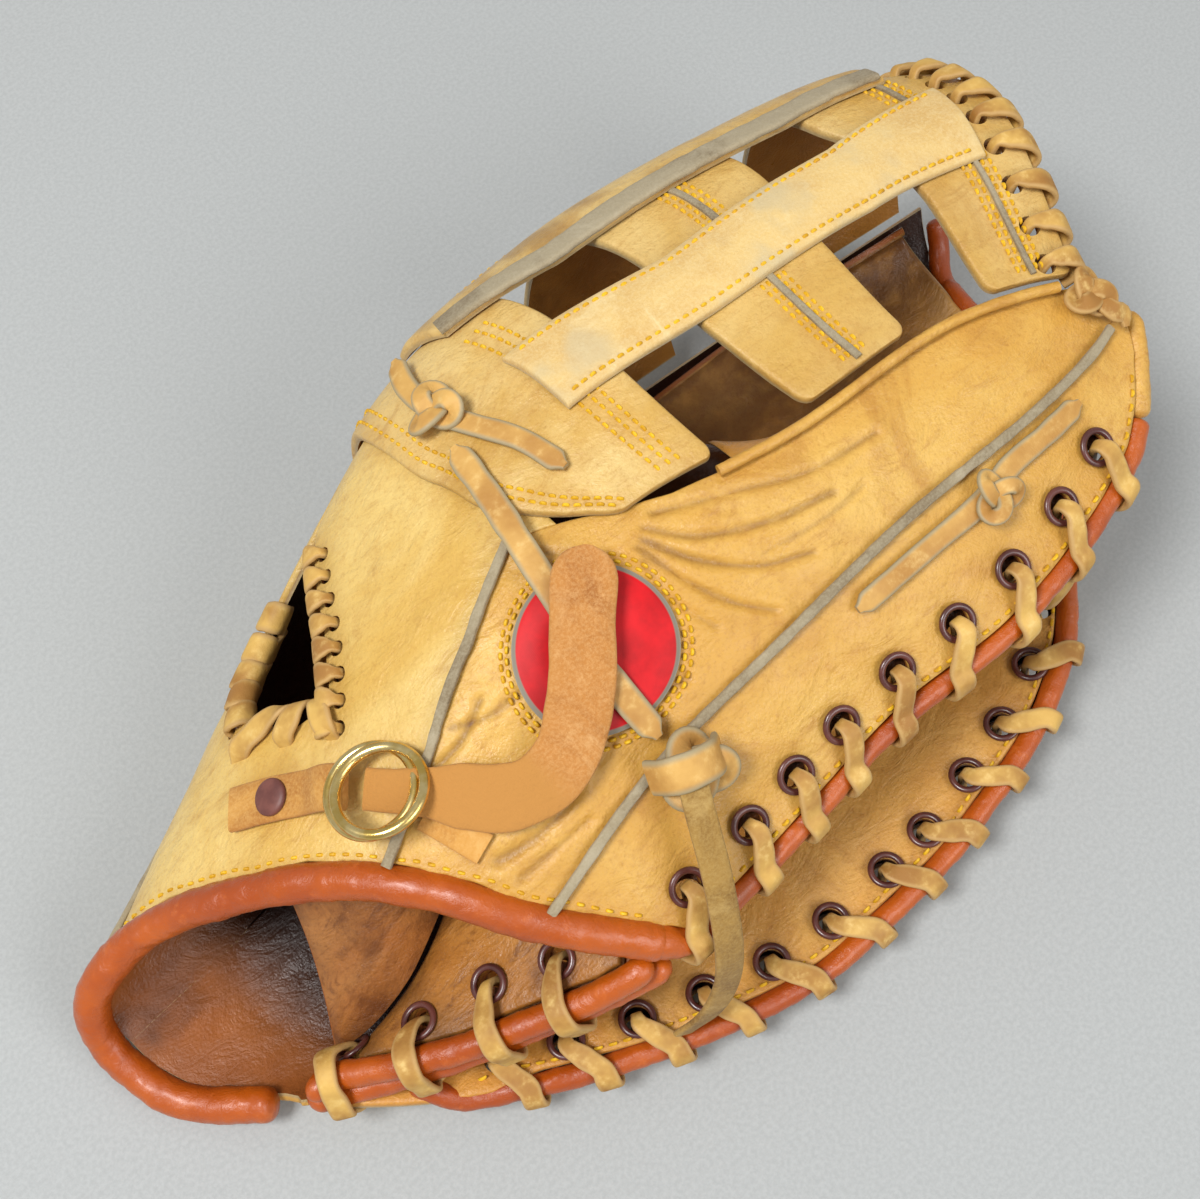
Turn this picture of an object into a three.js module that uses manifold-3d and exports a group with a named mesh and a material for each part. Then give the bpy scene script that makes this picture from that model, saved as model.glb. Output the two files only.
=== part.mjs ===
// A baseball first baseman's mitt for the right hand, lying folded on its thumb side.
// Millimetres, +Z up. X runs from the heel to the fingertips. +Y is the folded ridge with the web, and
// -Y the open side, where the rim of the thumb half lies under the rim of the finger half.
import * as THREE from "three";
import { mergeVertices } from "three/addons/utils/BufferGeometryUtils.js";
import Module from "manifold-3d";

const wasm = await Module();
wasm.setup();

// Size of the leather as it lies, without laces and straps.
const LENGTH = 300;
const WIDTH = 165;
const HEIGHT = 96;

// Leather and gaps.
const LEATHER = 2;
const SEAM_GAP = 0.5;
const LAYER_GAP = 0.7;
const RIM_OFFSET = 3.2;
const RIM_ROLL = 2.8;
const WRIST_ROLL = 4.2;
const HEEL_ROLL = 2.7;
const WELT_WIDTH = 3.2;
const WELT_HEIGHT = 1.6;

// Laces and eyelets.
const LACE_WIDTH = 5.3;
const LACE_THICK = 1.6;
const LACE_IN_HOLE = 3;
const RIM_INSET = 7.8;
const EYELET_OUTER = 4.6;
const EYELET_INNER = 3;
const EYELET_HEIGHT = 1;
const HOLE_RADIUS = 3.3;
const SLIT_LACE = 4.2;
const SLIT_LACE_THICK = 1.4;
const SLIT_HOLE = 2;

// Wrist strap, web and patch.
const STRAP_WIDTH = 14;
const STRAP_THICK = 2;
const TAB_WIDTH = 10;
const RIVET_RADIUS = 4.2;
const RING_RADIUS = 8.8;
const RING_WIRE = 1.2;
const PATCH_RADIUS = 18;
const PATCH_THICK = 1.2;
const WEB_LEATHER = 2.4;
const STRAP_LOOP = 9;
const KEEPER_WIDTH = 7;
const KEEPER_THICK = 1.2;
const PIPING = 1.3;

// How far the heel pad's two faces stand off the palm.
const PAD_LOW = LEATHER + 1.5;
const PAD_TOP = 6.4;

// Cross sections of the two leather surfaces, as shares: x of LENGTH, y of WIDTH and z of HEIGHT. Each
// row is one station between the heel (0) and the tips (1), and each column one line along the mitt.
const OUTER_SECTIONS = {
  columns: ["thumbRim", "thumbSole", "ridgeSole", "ridgeLow", "ridgeHigh", "crown", "webEdge", "backSeam",
    "fingerRim"],
  heelX: [-0.433, -0.487, -0.507, -0.49, -0.42, -0.323, -0.263, -0.213, -0.143],
  tipX: [0.467, 0.477, 0.49, 0.503, 0.5, 0.487, 0.417, 0.423, 0.427],
  rows: [
    { along: 0,
      y: [-0.261, -0.158, -0.042, 0.024, 0.012, -0.109, -0.23, -0.364, -0.491],
      z: [0.125, 0.042, 0.083, 0.229, 0.396, 0.604, 0.688, 0.656, 0.51] },
    { along: 0.2,
      y: [-0.491, -0.303, 0.012, 0.206, 0.2, 0.061, -0.097, -0.315, -0.479],
      z: [0.125, -0.01, -0.031, 0.167, 0.521, 0.802, 0.896, 0.76, 0.552] },
    { along: 0.4,
      y: [-0.612, -0.4, 0.085, 0.315, 0.333, 0.188, -0.079, -0.303, -0.461],
      z: [0.125, -0.01, -0.031, 0.229, 0.719, 0.927, 0.958, 0.833, 0.615] },
    { along: 0.6,
      y: [-0.612, -0.4, 0.109, 0.339, 0.358, 0.188, -0.121, -0.291, -0.473],
      z: [0.146, -0.01, -0.031, 0.271, 0.802, 0.969, 0.979, 0.875, 0.667] },
    { along: 0.8,
      y: [-0.509, -0.327, 0.109, 0.309, 0.315, 0.152, -0.133, -0.291, -0.436],
      z: [0.198, 0, 0, 0.312, 0.823, 0.969, 0.969, 0.875, 0.708] },
    { along: 0.92,
      y: [-0.273, -0.218, 0.109, 0.261, 0.267, 0.097, -0.17, -0.279, -0.382],
      z: [0.25, 0.083, 0.104, 0.354, 0.812, 0.958, 0.938, 0.865, 0.75] },
    { along: 1,
      y: [0.018, 0.061, 0.133, 0.194, 0.188, 0.03, -0.212, -0.255, -0.285],
      z: [0.312, 0.229, 0.25, 0.458, 0.792, 0.938, 0.906, 0.865, 0.823] },
  ],
};
const PALM_SECTIONS = {
  columns: ["thumbRim", "thumbSeam", "thumbPalm", "pocketLow", "pocketHigh", "fingerPalm", "fingerSeam",
    "fingerRim"],
  heelX: [-0.433, -0.393, -0.343, -0.293, -0.243, -0.203, -0.167, -0.143],
  tipX: [0.467, 0.473, 0.477, 0.483, 0.42, 0.423, 0.423, 0.427],
  rows: [
    { along: 0,
      y: [-0.261, -0.303, -0.352, -0.394, -0.43, -0.461, -0.485, -0.491],
      z: [0.125, 0.156, 0.208, 0.26, 0.323, 0.385, 0.448, 0.51] },
    { along: 0.1,
      y: [-0.4, -0.321, -0.267, -0.23, -0.242, -0.321, -0.418, -0.491],
      z: [0.127, 0.135, 0.188, 0.26, 0.365, 0.448, 0.5, 0.531] },
    { along: 0.2,
      y: [-0.491, -0.412, -0.273, -0.121, -0.121, -0.273, -0.4, -0.479],
      z: [0.125, 0.152, 0.177, 0.26, 0.479, 0.583, 0.573, 0.552] },
    { along: 0.32,
      y: [-0.57, -0.485, -0.273, 0.048, 0.048, -0.23, -0.376, -0.467],
      z: [0.123, 0.15, 0.177, 0.25, 0.562, 0.667, 0.625, 0.594] },
    { along: 0.42,
      y: [-0.618, -0.509, -0.255, 0.194, 0.158, -0.206, -0.364, -0.461],
      z: [0.125, 0.156, 0.177, 0.229, 0.646, 0.719, 0.667, 0.615] },
    { along: 0.5,
      y: [-0.618, -0.515, -0.255, 0.212, 0.024, -0.218, -0.364, -0.467],
      z: [0.13, 0.156, 0.167, 0.219, 0.75, 0.75, 0.688, 0.635] },
    { along: 0.6,
      y: [-0.612, -0.515, -0.255, 0.218, -0.103, -0.23, -0.364, -0.473],
      z: [0.146, 0.167, 0.156, 0.208, 0.792, 0.771, 0.708, 0.667] },
    { along: 0.8,
      y: [-0.509, -0.424, -0.182, 0.206, -0.115, -0.23, -0.345, -0.436],
      z: [0.198, 0.219, 0.177, 0.24, 0.802, 0.781, 0.74, 0.708] },
    { along: 0.92,
      y: [-0.273, -0.218, -0.048, 0.176, -0.152, -0.23, -0.315, -0.382],
      z: [0.25, 0.281, 0.24, 0.292, 0.802, 0.792, 0.771, 0.75] },
    { along: 1,
      y: [0.018, 0.055, 0.097, 0.127, -0.206, -0.236, -0.261, -0.285],
      z: [0.312, 0.344, 0.365, 0.438, 0.844, 0.823, 0.802, 0.823] },
  ],
};

// A smooth value through one column of the rows at a station.
function throughRows(rows, key, column, along) {
  const last = rows.length - 1;
  const a = Math.min(Math.max(along, 0), 1);
  let i = 0;
  while (i < last - 1 && rows[i + 1].along <= a) i += 1;
  const value = (k) => rows[k][key][column];
  const slope = (k) => {
    const before = Math.max(k - 1, 0);
    const after = Math.min(k + 1, last);
    return (value(after) - value(before)) / (rows[after].along - rows[before].along);
  };
  const span = rows[i + 1].along - rows[i].along;
  const t = (a - rows[i].along) / span;
  const t2 = t * t;
  const t3 = t2 * t;
  return (2 * t3 - 3 * t2 + 1) * value(i) + (t3 - 2 * t2 + t) * slope(i) * span
    + (3 * t2 - 2 * t3) * value(i + 1) + (t3 - t2) * slope(i + 1) * span;
}

// A smooth value through a list at a position between its entries.
function throughList(list, position) {
  const last = list.length - 1;
  const s = Math.min(Math.max(position, 0), last);
  const i = Math.min(Math.floor(s), last - 1);
  const t = s - i;
  const b = list[i];
  const c = list[i + 1];
  const a = i > 0 ? list[i - 1] : 2 * b - c;
  const d = i + 2 <= last ? list[i + 2] : 2 * c - b;
  return 0.5 * (2 * b + (c - a) * t + (2 * a - 5 * b + 4 * c - d) * t * t
    + (3 * b - a - 3 * c + d) * t * t * t);
}

// A surface through the sections. around counts the columns, and the two rims part by RIM_OFFSET.
function surfaceOf(table, rimSign) {
  const count = table.columns.length;
  const cache = new Map();
  function section(along) {
    if (cache.has(along)) return cache.get(along);
    const lines = { x: [], y: [], z: [] };
    for (let k = 0; k < count; k += 1) {
      lines.x.push(LENGTH * (table.heelX[k] + (table.tipX[k] - table.heelX[k]) * along));
      lines.y.push(WIDTH * throughRows(table.rows, "y", k, along));
      lines.z.push(HEIGHT * throughRows(table.rows, "z", k, along));
    }
    lines.z[0] -= rimSign * RIM_OFFSET;
    lines.z[count - 1] += rimSign * RIM_OFFSET;
    cache.set(along, lines);
    return lines;
  }
  function point(along, around) {
    const s = section(along);
    const z = Math.max(throughList(s.z, around), 0);
    return new THREE.Vector3(throughList(s.x, around), throughList(s.y, around), z);
  }
  function steps(along, around) {
    const a0 = Math.max(along - 0.004, 0);
    const a1 = Math.min(along + 0.004, 1);
    const v0 = Math.max(around - 0.04, 0);
    const v1 = Math.min(around + 0.04, count - 1);
    const lengthwise = point(a1, around).sub(point(a0, around)).divideScalar(a1 - a0);
    const across = point(along, v1).sub(point(along, v0)).divideScalar(v1 - v0);
    return { lengthwise, across };
  }
  function normal(along, around) {
    const { lengthwise, across } = steps(along, around);
    return across.cross(lengthwise).normalize();
  }
  function at(along, around, lift) {
    return point(along, around).addScaledVector(normal(along, around), lift);
  }
  return { point, normal, at, steps, count };
}

const outer = surfaceOf(OUTER_SECTIONS, 1);
const palm = surfaceOf(PALM_SECTIONS, -1);

// A straight-line table of [key, value] pairs.
function lookup(pairs, key) {
  if (key <= pairs[0][0]) return pairs[0][1];
  for (let i = 1; i < pairs.length; i += 1) {
    const [k0, v0] = pairs[i - 1];
    const [k1, v1] = pairs[i];
    if (key <= k1) return v0 + (v1 - v0) * (key - k0) / (k1 - k0);
  }
  return pairs[pairs.length - 1][1];
}

// Evenly spaced numbers from a to b.
function range(a, b, steps) {
  return Array.from({ length: steps + 1 }, (_, i) => a + (b - a) * i / steps);
}

// One closed body from points and triangles, turned so that its faces point out.
function closedBody(points, triangles) {
  let volume = 0;
  for (const [a, b, c] of triangles) {
    volume += points[a].dot(new THREE.Vector3().crossVectors(points[b], points[c]));
  }
  const order = volume < 0 ? [0, 2, 1] : [0, 1, 2];
  const positions = [];
  for (const triangle of triangles) {
    for (const k of order) positions.push(...points[triangle[k]].toArray());
  }
  const geometry = new THREE.BufferGeometry();
  geometry.setAttribute("position", new THREE.Float32BufferAttribute(positions, 3));
  geometry.computeVertexNormals();
  return geometry;
}

// A leather sheet over a grid. at(s, t, skin) gives its points, skin 0 and 1 being its two faces, and
// keep(s, t), asked at the middle of a cell, leaves cells out.
function sheet(sList, tList, at, keep = () => true) {
  const ns = sList.length;
  const nt = tList.length;
  const points = [];
  for (const skin of [0, 1]) {
    for (const s of sList) {
      for (const t of tList) points.push(at(s, t, skin));
    }
  }
  const id = (i, j, skin) => skin * ns * nt + i * nt + j;
  const kept = (i, j) => i >= 0 && j >= 0 && i < ns - 1 && j < nt - 1
    && keep((sList[i] + sList[i + 1]) / 2, (tList[j] + tList[j + 1]) / 2);
  const triangles = [];
  const quad = (a, b, c, d) => triangles.push([a, b, c], [a, c, d]);
  const wall = (i0, j0, i1, j1) => quad(id(i1, j1, 1), id(i0, j0, 1), id(i0, j0, 0), id(i1, j1, 0));
  for (let i = 0; i < ns - 1; i += 1) {
    for (let j = 0; j < nt - 1; j += 1) {
      if (!kept(i, j)) continue;
      quad(id(i, j, 1), id(i, j + 1, 1), id(i + 1, j + 1, 1), id(i + 1, j, 1));
      quad(id(i, j, 0), id(i + 1, j, 0), id(i + 1, j + 1, 0), id(i, j + 1, 0));
      if (!kept(i - 1, j)) wall(i, j, i, j + 1);
      if (!kept(i, j + 1)) wall(i, j + 1, i + 1, j + 1);
      if (!kept(i + 1, j)) wall(i + 1, j + 1, i + 1, j);
      if (!kept(i, j - 1)) wall(i + 1, j, i, j);
    }
  }
  return closedBody(points, triangles);
}

// A panel between two lines of a surface: around runs from fromLine to toLine at each station.
function panel(surface, stations, fromLine, toLine, across, low, high) {
  return sheet(stations, range(0, 1, across), (along, t, skin) => {
    const around = lookup(fromLine, along) * (1 - t) + lookup(toLine, along) * t;
    return surface.at(along, around, skin ? high : low);
  });
}

// A piece of the web that crosses the mitt: its two edges are given as [around, along] pairs.
function crossPiece(surface, arounds, heelEdge, tipEdge, cells, low, high) {
  return sheet(range(0, 1, cells), arounds, (s, around, skin) => {
    const along = lookup(heelEdge, around) * (1 - s) + lookup(tipEdge, around) * s;
    return surface.at(along, around, skin ? high : low);
  });
}

// Rings of points joined into one closed body with flat ends.
function loft(rings) {
  const n = rings[0].length;
  const points = rings.flat();
  const triangles = [];
  for (let i = 0; i < rings.length - 1; i += 1) {
    for (let j = 0; j < n; j += 1) {
      const k = (j + 1) % n;
      triangles.push([i * n + j, i * n + k, (i + 1) * n + k]);
      triangles.push([i * n + j, (i + 1) * n + k, (i + 1) * n + j]);
    }
  }
  const end = (rings.length - 1) * n;
  for (let j = 1; j < n - 1; j += 1) {
    triangles.push([0, j + 1, j]);
    triangles.push([end, end + j, end + j + 1]);
  }
  return closedBody(points, triangles);
}

// A flat lace through stations of { p, across, half }, across being the direction of its width.
function ribbon(stations, thick) {
  const rings = stations.map((station, i) => {
    const back = stations[Math.max(i - 1, 0)].p;
    const next = stations[Math.min(i + 1, stations.length - 1)].p;
    const arrive = new THREE.Vector3().subVectors(station.p, back).normalize();
    const leave = new THREE.Vector3().subVectors(next, station.p).normalize();
    const forward = arrive.clone().add(leave).normalize();
    const across = station.across.clone().addScaledVector(forward, -station.across.dot(forward));
    across.normalize();
    const up = new THREE.Vector3().crossVectors(across, forward).normalize();
    const bend = i > 0 && i < stations.length - 1 ? Math.max(arrive.dot(forward), 0.72) : 1;
    const rise = thick / 2 / bend;
    return [[-1, -1], [1, -1], [1, 1], [-1, 1]].map(([w, u]) => station.p.clone()
      .addScaledVector(across, w * station.half).addScaledVector(up, u * rise));
  });
  return loft(rings);
}

// A lace or strap that lies on a surface along [along, around, lift, own width] stations.
function laid(surface, line, width, thick, acrossCells = 1) {
  const spots = line.map(([along, around]) => surface.point(along, around));
  const list = line.map(([along, around, lift, ownWidth], i) => {
    const back = spots[Math.max(i - 1, 0)];
    const next = spots[Math.min(i + 1, spots.length - 1)];
    const forward = new THREE.Vector3().subVectors(next, back).normalize();
    const normal = surface.normal(along, around);
    const across = new THREE.Vector3().crossVectors(normal, forward).normalize();
    const place = offsets(surface, along, around);
    return { lift, across, place, span: ownWidth ?? width };
  });
  return sheet(range(0, list.length - 1, list.length - 1), range(-0.5, 0.5, acrossCells), (i, t, skin) => {
    const { lift, across, place, span } = list[i];
    return place(across.clone().multiplyScalar(t * span), lift + (skin ? thick : 0));
  });
}

// Turns a small shift in millimetres at a spot of a surface into a point of that surface.
function offsets(surface, along, around) {
  const { lengthwise, across } = surface.steps(along, around);
  const aa = lengthwise.dot(lengthwise);
  const ab = lengthwise.dot(across);
  const bb = across.dot(across);
  const det = aa * bb - ab * ab;
  return (shift, lift) => {
    const p = shift.dot(lengthwise);
    const q = shift.dot(across);
    const da = (bb * p - ab * q) / det;
    const dv = (aa * q - ab * p) / det;
    return surface.at(along + da, around + dv, lift);
  };
}

// A round rope of leather along points.
function roll(points, radius, steps, sides) {
  const shape = new THREE.Shape();
  for (let i = 0; i < sides; i += 1) {
    const angle = 2 * Math.PI * i / sides;
    const x = radius * Math.cos(angle);
    const y = radius * Math.sin(angle);
    if (i === 0) shape.moveTo(x, y);
    else shape.lineTo(x, y);
  }
  shape.closePath();
  const path = new THREE.CatmullRomCurve3(points, false, "centripetal");
  return new THREE.ExtrudeGeometry(shape, { steps, extrudePath: path, bevelEnabled: false });
}

// A closed mesh as a solid that can be cut, and back.
function toSolid(geometry) {
  const bare = geometry.index ? geometry.toNonIndexed() : geometry.clone();
  bare.deleteAttribute("normal");
  bare.deleteAttribute("uv");
  const merged = mergeVertices(bare, 1e-4);
  return new wasm.Manifold(new wasm.Mesh({
    numProp: 3,
    vertProperties: merged.attributes.position.array,
    triVerts: new Uint32Array(merged.index.array),
  }));
}

function fromSolid(solid) {
  const mesh = solid.getMesh();
  const geometry = new THREE.BufferGeometry();
  geometry.setAttribute("position", new THREE.BufferAttribute(new Float32Array(mesh.vertProperties), 3));
  geometry.setIndex(new THREE.BufferAttribute(new Uint32Array(mesh.triVerts), 1));
  return geometry;
}

// Cuts round holes through a piece, each a { from, to, radius }.
function drilled(geometry, holes) {
  let solid = toSolid(geometry);
  for (const { from, to, radius } of holes) {
    const direction = new THREE.Vector3().subVectors(to, from);
    const drill = new THREE.CylinderGeometry(radius, radius, direction.length(), 6);
    const turn = new THREE.Quaternion().setFromUnitVectors(new THREE.Vector3(0, 1, 0),
      direction.clone().normalize());
    drill.applyQuaternion(turn);
    drill.translate(...new THREE.Vector3().addVectors(from, to).multiplyScalar(0.5).toArray());
    solid = solid.subtract(toSolid(drill));
  }
  return fromSolid(solid);
}

// Colours seen on the real thing, with how rough and how metallic each one is.
const LOOKS = {
  tan: [0xd9ab66, 0.5, 0],
  palmTan: [0xb98246, 0.5, 0],
  binding: [0xb9531e, 0.35, 0],
  lace: [0xcfa56b, 0.6, 0],
  suede: [0xb07a48, 0.9, 0],
  welt: [0x97917d, 0.85, 0],
  pad: [0x9a6636, 0.6, 0],
  eyelet: [0x4f2a24, 0.3, 0],
  brass: [0xcfb45a, 0.25, 1],
  patch: [0xc0121f, 0.45, 0],
  pale: [0xe0c184, 0.65, 0],
};

const mitt = new THREE.Group();

function add(name, look, geometry) {
  const [color, roughness, metalness] = LOOKS[look];
  const material = new THREE.MeshStandardMaterial({ color, roughness, metalness });
  const mesh = new THREE.Mesh(geometry, material);
  mesh.name = name;
  mitt.add(mesh);
  return mesh;
}

// Lines on the outer surface, as [along, around] pairs: the seams between the back panels, the two
// edges of the slit that the forefinger comes out of, and the panels' edge along the web.
const INNER_SEAM = [[0, 5.7], [0.08, 5.78], [0.11, 5.81], [0.2, 5.79], [0.3, 5.62], [0.35, 5.76],
  [0.4, 5.9], [0.45, 5.98], [0.5, 6], [1, 6]];
const SLIT_RIGHT = [[0, 4.66], [0.08, 4.68], [0.11, 4.86], [0.15, 4.74], [0.2, 4.53], [0.25, 4.27],
  [0.3, 3.99], [0.4, 3.97]];
const SLIT_LEFT = [[0, 4.64], [0.08, 4.62], [0.11, 4.4], [0.15, 4.02], [0.2, 3.81], [0.25, 3.79],
  [0.3, 3.95], [0.4, 3.95]];
const SOLE_SEAM = [[0, 1.99], [0.4, 1.99], [0.45, 2.55], [0.5, 2.6], [1, 2.6]];
const BACK_SEAM = 7;
const WEB_EDGE = 6;

// The two laced rims: their columns on each surface, the way into the leather, and the holes' stations.
const FINGER = {
  outerRim: 8, palmRim: 7, inward: -1, holeRise: 3,
  holes: [0.055, 0.168, 0.256, 0.338, 0.431, 0.53, 0.64, 0.753, 0.855],
};
const THUMB = {
  outerRim: 0, palmRim: 0, inward: 1, holeRise: 0,
  holes: [0.15, 0.205, 0.265, 0.325, 0.39, 0.46, 0.53, 0.585, 0.65, 0.71, 0.775, 0.83],
};
const HEEL_HOLES = [2.2, 3.4, 4.5];

// A seam's line moved to one side of it by half the seam's gap.
const clear = (line, sign) => line.map(([along, around]) => {
  const { across } = outer.steps(along, around);
  return [along, around + sign * SEAM_GAP / 2 / across.length()];
});

const rimCentre = (side, along) => new THREE.Vector3()
  .addVectors(outer.point(along, side.outerRim), palm.point(along, side.palmRim)).multiplyScalar(0.5);
const rimTangent = (side, along) => new THREE.Vector3()
  .subVectors(rimCentre(side, along + 0.02), rimCentre(side, along - 0.02)).normalize();

// The middle lines of the two rolled rims, each with its turn across the tip.
const fingerRollLine = [...range(0.06, 0.97, 20).map((a) => rimCentre(FINGER, a)),
  ...range(7.75, 6.15, 4).map((v) => outer.at(1, v, -RIM_OFFSET))];
const thumbRollLine = [...range(0.12, 0.97, 20).map((a) => rimCentre(THUMB, a)),
  ...range(0.3, 2.4, 4).map((v) => outer.at(1, v, -RIM_OFFSET))];
const rollSpots = [fingerRollLine, thumbRollLine].flatMap((line) => new THREE.CatmullRomCurve3(line, false,
  "centripetal").getSpacedPoints(260));

// Whether both faces of a leather at a spot are clear of the rolled rims.
const rollsClear = (surface, along, around, lifts) => lifts.every((lift) => {
  const spot = surface.at(along, around, lift);
  return rollSpots.every((p) => p.distanceTo(spot) > RIM_ROLL + 1);
});

// Where a leather starts beside a rim, and where it ends at the tip.
function besideRim(surface, rim, inward, along, lifts) {
  let around = rim + inward * 0.04;
  while (!rollsClear(surface, along, around, lifts)) around += inward * 0.02;
  return around;
}

function tipEnd(surface, around, lifts) {
  let along = 0.99;
  while (!rollsClear(surface, along, around, lifts)) along -= 0.003;
  return along;
}

// The first station at which a surface is clear of the rolled edge at the heel end.
function heelStart(surface, around, clearance) {
  const edge = range(0, surface.count - 1, 60).map((v) => surface.point(0, v));
  let along = 0;
  while (edge.some((p) => p.distanceTo(surface.point(along, around)) < clearance)) along += 0.002;
  return along;
}

const STATIONS = [0, 0.08, 0.11, 0.15, 0.2, 0.25, 0.3, 0.35, 0.4, 0.45, 0.5, 0.6, 0.7, 0.8, 0.88, 0.94,
  0.984];
const LAST = 0.965;
const OUTER_FACES = [0, -LEATHER];
const PALM_FACES = [0, LEATHER];
const rimStations = STATIONS.map((a) => Math.min(a, LAST));
const fingerOuterEdge = rimStations.map((a) => [a, besideRim(outer, 8, -1, a, OUTER_FACES)]);
const thumbOuterEdge = rimStations.map((a) => [a, besideRim(outer, 0, 1, a, OUTER_FACES)]);
const fingerPalmEdge = rimStations.map((a) => [a, besideRim(palm, 7, -1, a, PALM_FACES)]);
const thumbPalmEdge = rimStations.map((a) => [a, besideRim(palm, 0, 1, a, PALM_FACES)]);

// A back panel, trimmed at the heel end where the wrist binding runs.
function backPanel(stations, fromLine, toLine, cells, endAt = null) {
  return sheet(stations, range(0, 1, cells), (s, t, skin) => {
    const aroundAt = (a) => lookup(fromLine, a) * (1 - t) + lookup(toLine, a) * t;
    let along = Math.max(s, heelStart(outer, aroundAt(s), WRIST_ROLL + 1.5));
    if (endAt) along = Math.min(along, lookup(endAt, aroundAt(s)));
    if (s > LAST) along = tipEnd(outer, aroundAt(s), OUTER_FACES);
    return outer.at(along, aroundAt(along), skin ? 0 : -LEATHER);
  });
}

const firstStations = STATIONS.filter((a) => a < 0.4);
const fingerBackOuter = backPanel(STATIONS, clear([[0, 7], [1, 7]], 1), fingerOuterEdge, 3);
const fingerBackMiddle = backPanel(STATIONS, clear(INNER_SEAM, 1), clear([[0, 7], [1, 7]], -1), 3);
const baseEnd = [[2, 0.395], [4.1, 0.395], [4.8, 0.35], [5.3, 0.345], [6, 0.345]];
const fingerBackInner = backPanel(firstStations, clear(SLIT_RIGHT, 1), clear(INNER_SEAM, -1), 4, baseEnd);
const thumbBackInner = backPanel(firstStations, [[0, 2.01], [1, 2.01]], clear(SLIT_LEFT, -1), 5, baseEnd);
const thumbBackOuter = backPanel(STATIONS, thumbOuterEdge, clear(SOLE_SEAM, -1), 5);

// The palm: one piece, with the notch that the web fills between thumb and fingers.
const PALM_COLUMNS = [0, 0.5, 1, 1.6, 2.3, 3, 3.3, 3.7, 4, 4.6, 5.3, 6, 6.5, 7];
const palmLeather = sheet(STATIONS, PALM_COLUMNS, (s, t, skin) => {
  let around = t;
  if (t < 3) around = 3 - (3 - t) / 3 * (3 - lookup(thumbPalmEdge, s));
  if (t > 4) around = 4 + (t - 4) / 3 * (lookup(fingerPalmEdge, s) - 4);
  let along = Math.max(s, heelStart(palm, around, HEEL_ROLL + 2));
  if (s > LAST) along = t > 3.5 ? tipEnd(palm, around, PALM_FACES) : LAST - 0.003;
  return palm.at(along, around, skin ? LEATHER : 0);
}, (s, t) => t < 3 || t > 4 || s < 0.45 || (s < 0.5 && (t < 3.3 || t > 3.7)));

// The spot of a surface nearest to a point, from a first guess.
function nearest(surface, target, along, around) {
  let a = along;
  let v = around;
  for (let i = 0; i < 12; i += 1) {
    const gap = new THREE.Vector3().subVectors(target, surface.point(a, v));
    const { lengthwise, across } = surface.steps(a, v);
    const aa = lengthwise.dot(lengthwise);
    const ab = lengthwise.dot(across);
    const bb = across.dot(across);
    const det = aa * bb - ab * ab;
    a += 0.8 * (bb * gap.dot(lengthwise) - ab * gap.dot(across)) / det;
    v += 0.8 * (aa * gap.dot(across) - ab * gap.dot(lengthwise)) / det;
  }
  return [a, v];
}

// Holes through both leathers beside a rim, square to it.
function rimHole(side, along) {
  const tangent = rimTangent(side, along);
  const centre = rimCentre(side, along);
  const up = new THREE.Vector3(0, 0, side.inward < 0 ? 1 : -1);
  up.addScaledVector(tangent, -up.dot(tangent)).normalize();
  const inward = new THREE.Vector3().crossVectors(up, tangent);
  if (inward.y < 0) inward.negate();
  const middle = centre.clone().addScaledVector(inward, RIM_INSET).addScaledVector(up, side.holeRise);
  const onto = (surface, rim, rise) => {
    const spot = nearest(surface, middle.clone().addScaledVector(up, rise), along, rim + side.inward * 0.4);
    return { point: surface.point(...spot), normal: surface.normal(...spot) };
  };
  const a = onto(outer, side.outerRim, 5);
  const b = onto(palm, side.palmRim, -5);
  return { along, tangent, inward, onOuter: a.point, onPalm: b.point, outerNormal: a.normal,
    palmNormal: b.normal, up };
}

const fingerHoles = FINGER.holes.map((a) => rimHole(FINGER, a));
const thumbHoles = THUMB.holes.map((a) => rimHole(THUMB, a));
const throughRim = ({ onOuter, onPalm, up }) => ({
  from: onOuter.clone().addScaledVector(up, 4), to: onPalm.clone().addScaledVector(up, -4),
  radius: HOLE_RADIUS,
});

// Holes of a lace that whips a single edge, given as [along, around] spots.
const throughSheet = (surface, spot, low, high, radius) => ({
  from: surface.at(spot[0], spot[1], high), to: surface.at(spot[0], spot[1], low), radius,
});

const rightSpots = range(0.116, 0.268, 7)
  .map((a) => [a, lookup(SLIT_RIGHT, a) + 3.6 / outer.steps(a, 4.5).across.length()]);
const leftSpots = range(0.14, 0.244, 4)
  .map((a) => [a, lookup(SLIT_LEFT, a) - 3.6 / outer.steps(a, 4).across.length()]);
const heelSpots = HEEL_HOLES.map((v) => [0.038, v]);

const fingerDrills = fingerHoles.map(throughRim);
const thumbDrills = thumbHoles.map(throughRim);
const heelDrills = heelSpots.map((spot) => throughSheet(palm, spot, -4, 9, HOLE_RADIUS));

add("palm", "palmTan", drilled(palmLeather, [...fingerDrills, ...thumbDrills, ...heelDrills]));
add("finger_back_inner", "tan", drilled(fingerBackInner,
  rightSpots.map((spot) => throughSheet(outer, spot, -5, 3, SLIT_HOLE))));
add("finger_back_middle", "tan", fingerBackMiddle);
add("finger_back_outer", "tan", drilled(fingerBackOuter, fingerDrills));
add("thumb_back_inner", "tan", drilled(thumbBackInner,
  leftSpots.map((spot) => throughSheet(outer, spot, -5, 3, SLIT_HOLE))));
add("thumb_back_outer", "tan", drilled(thumbBackOuter, thumbDrills));

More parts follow.
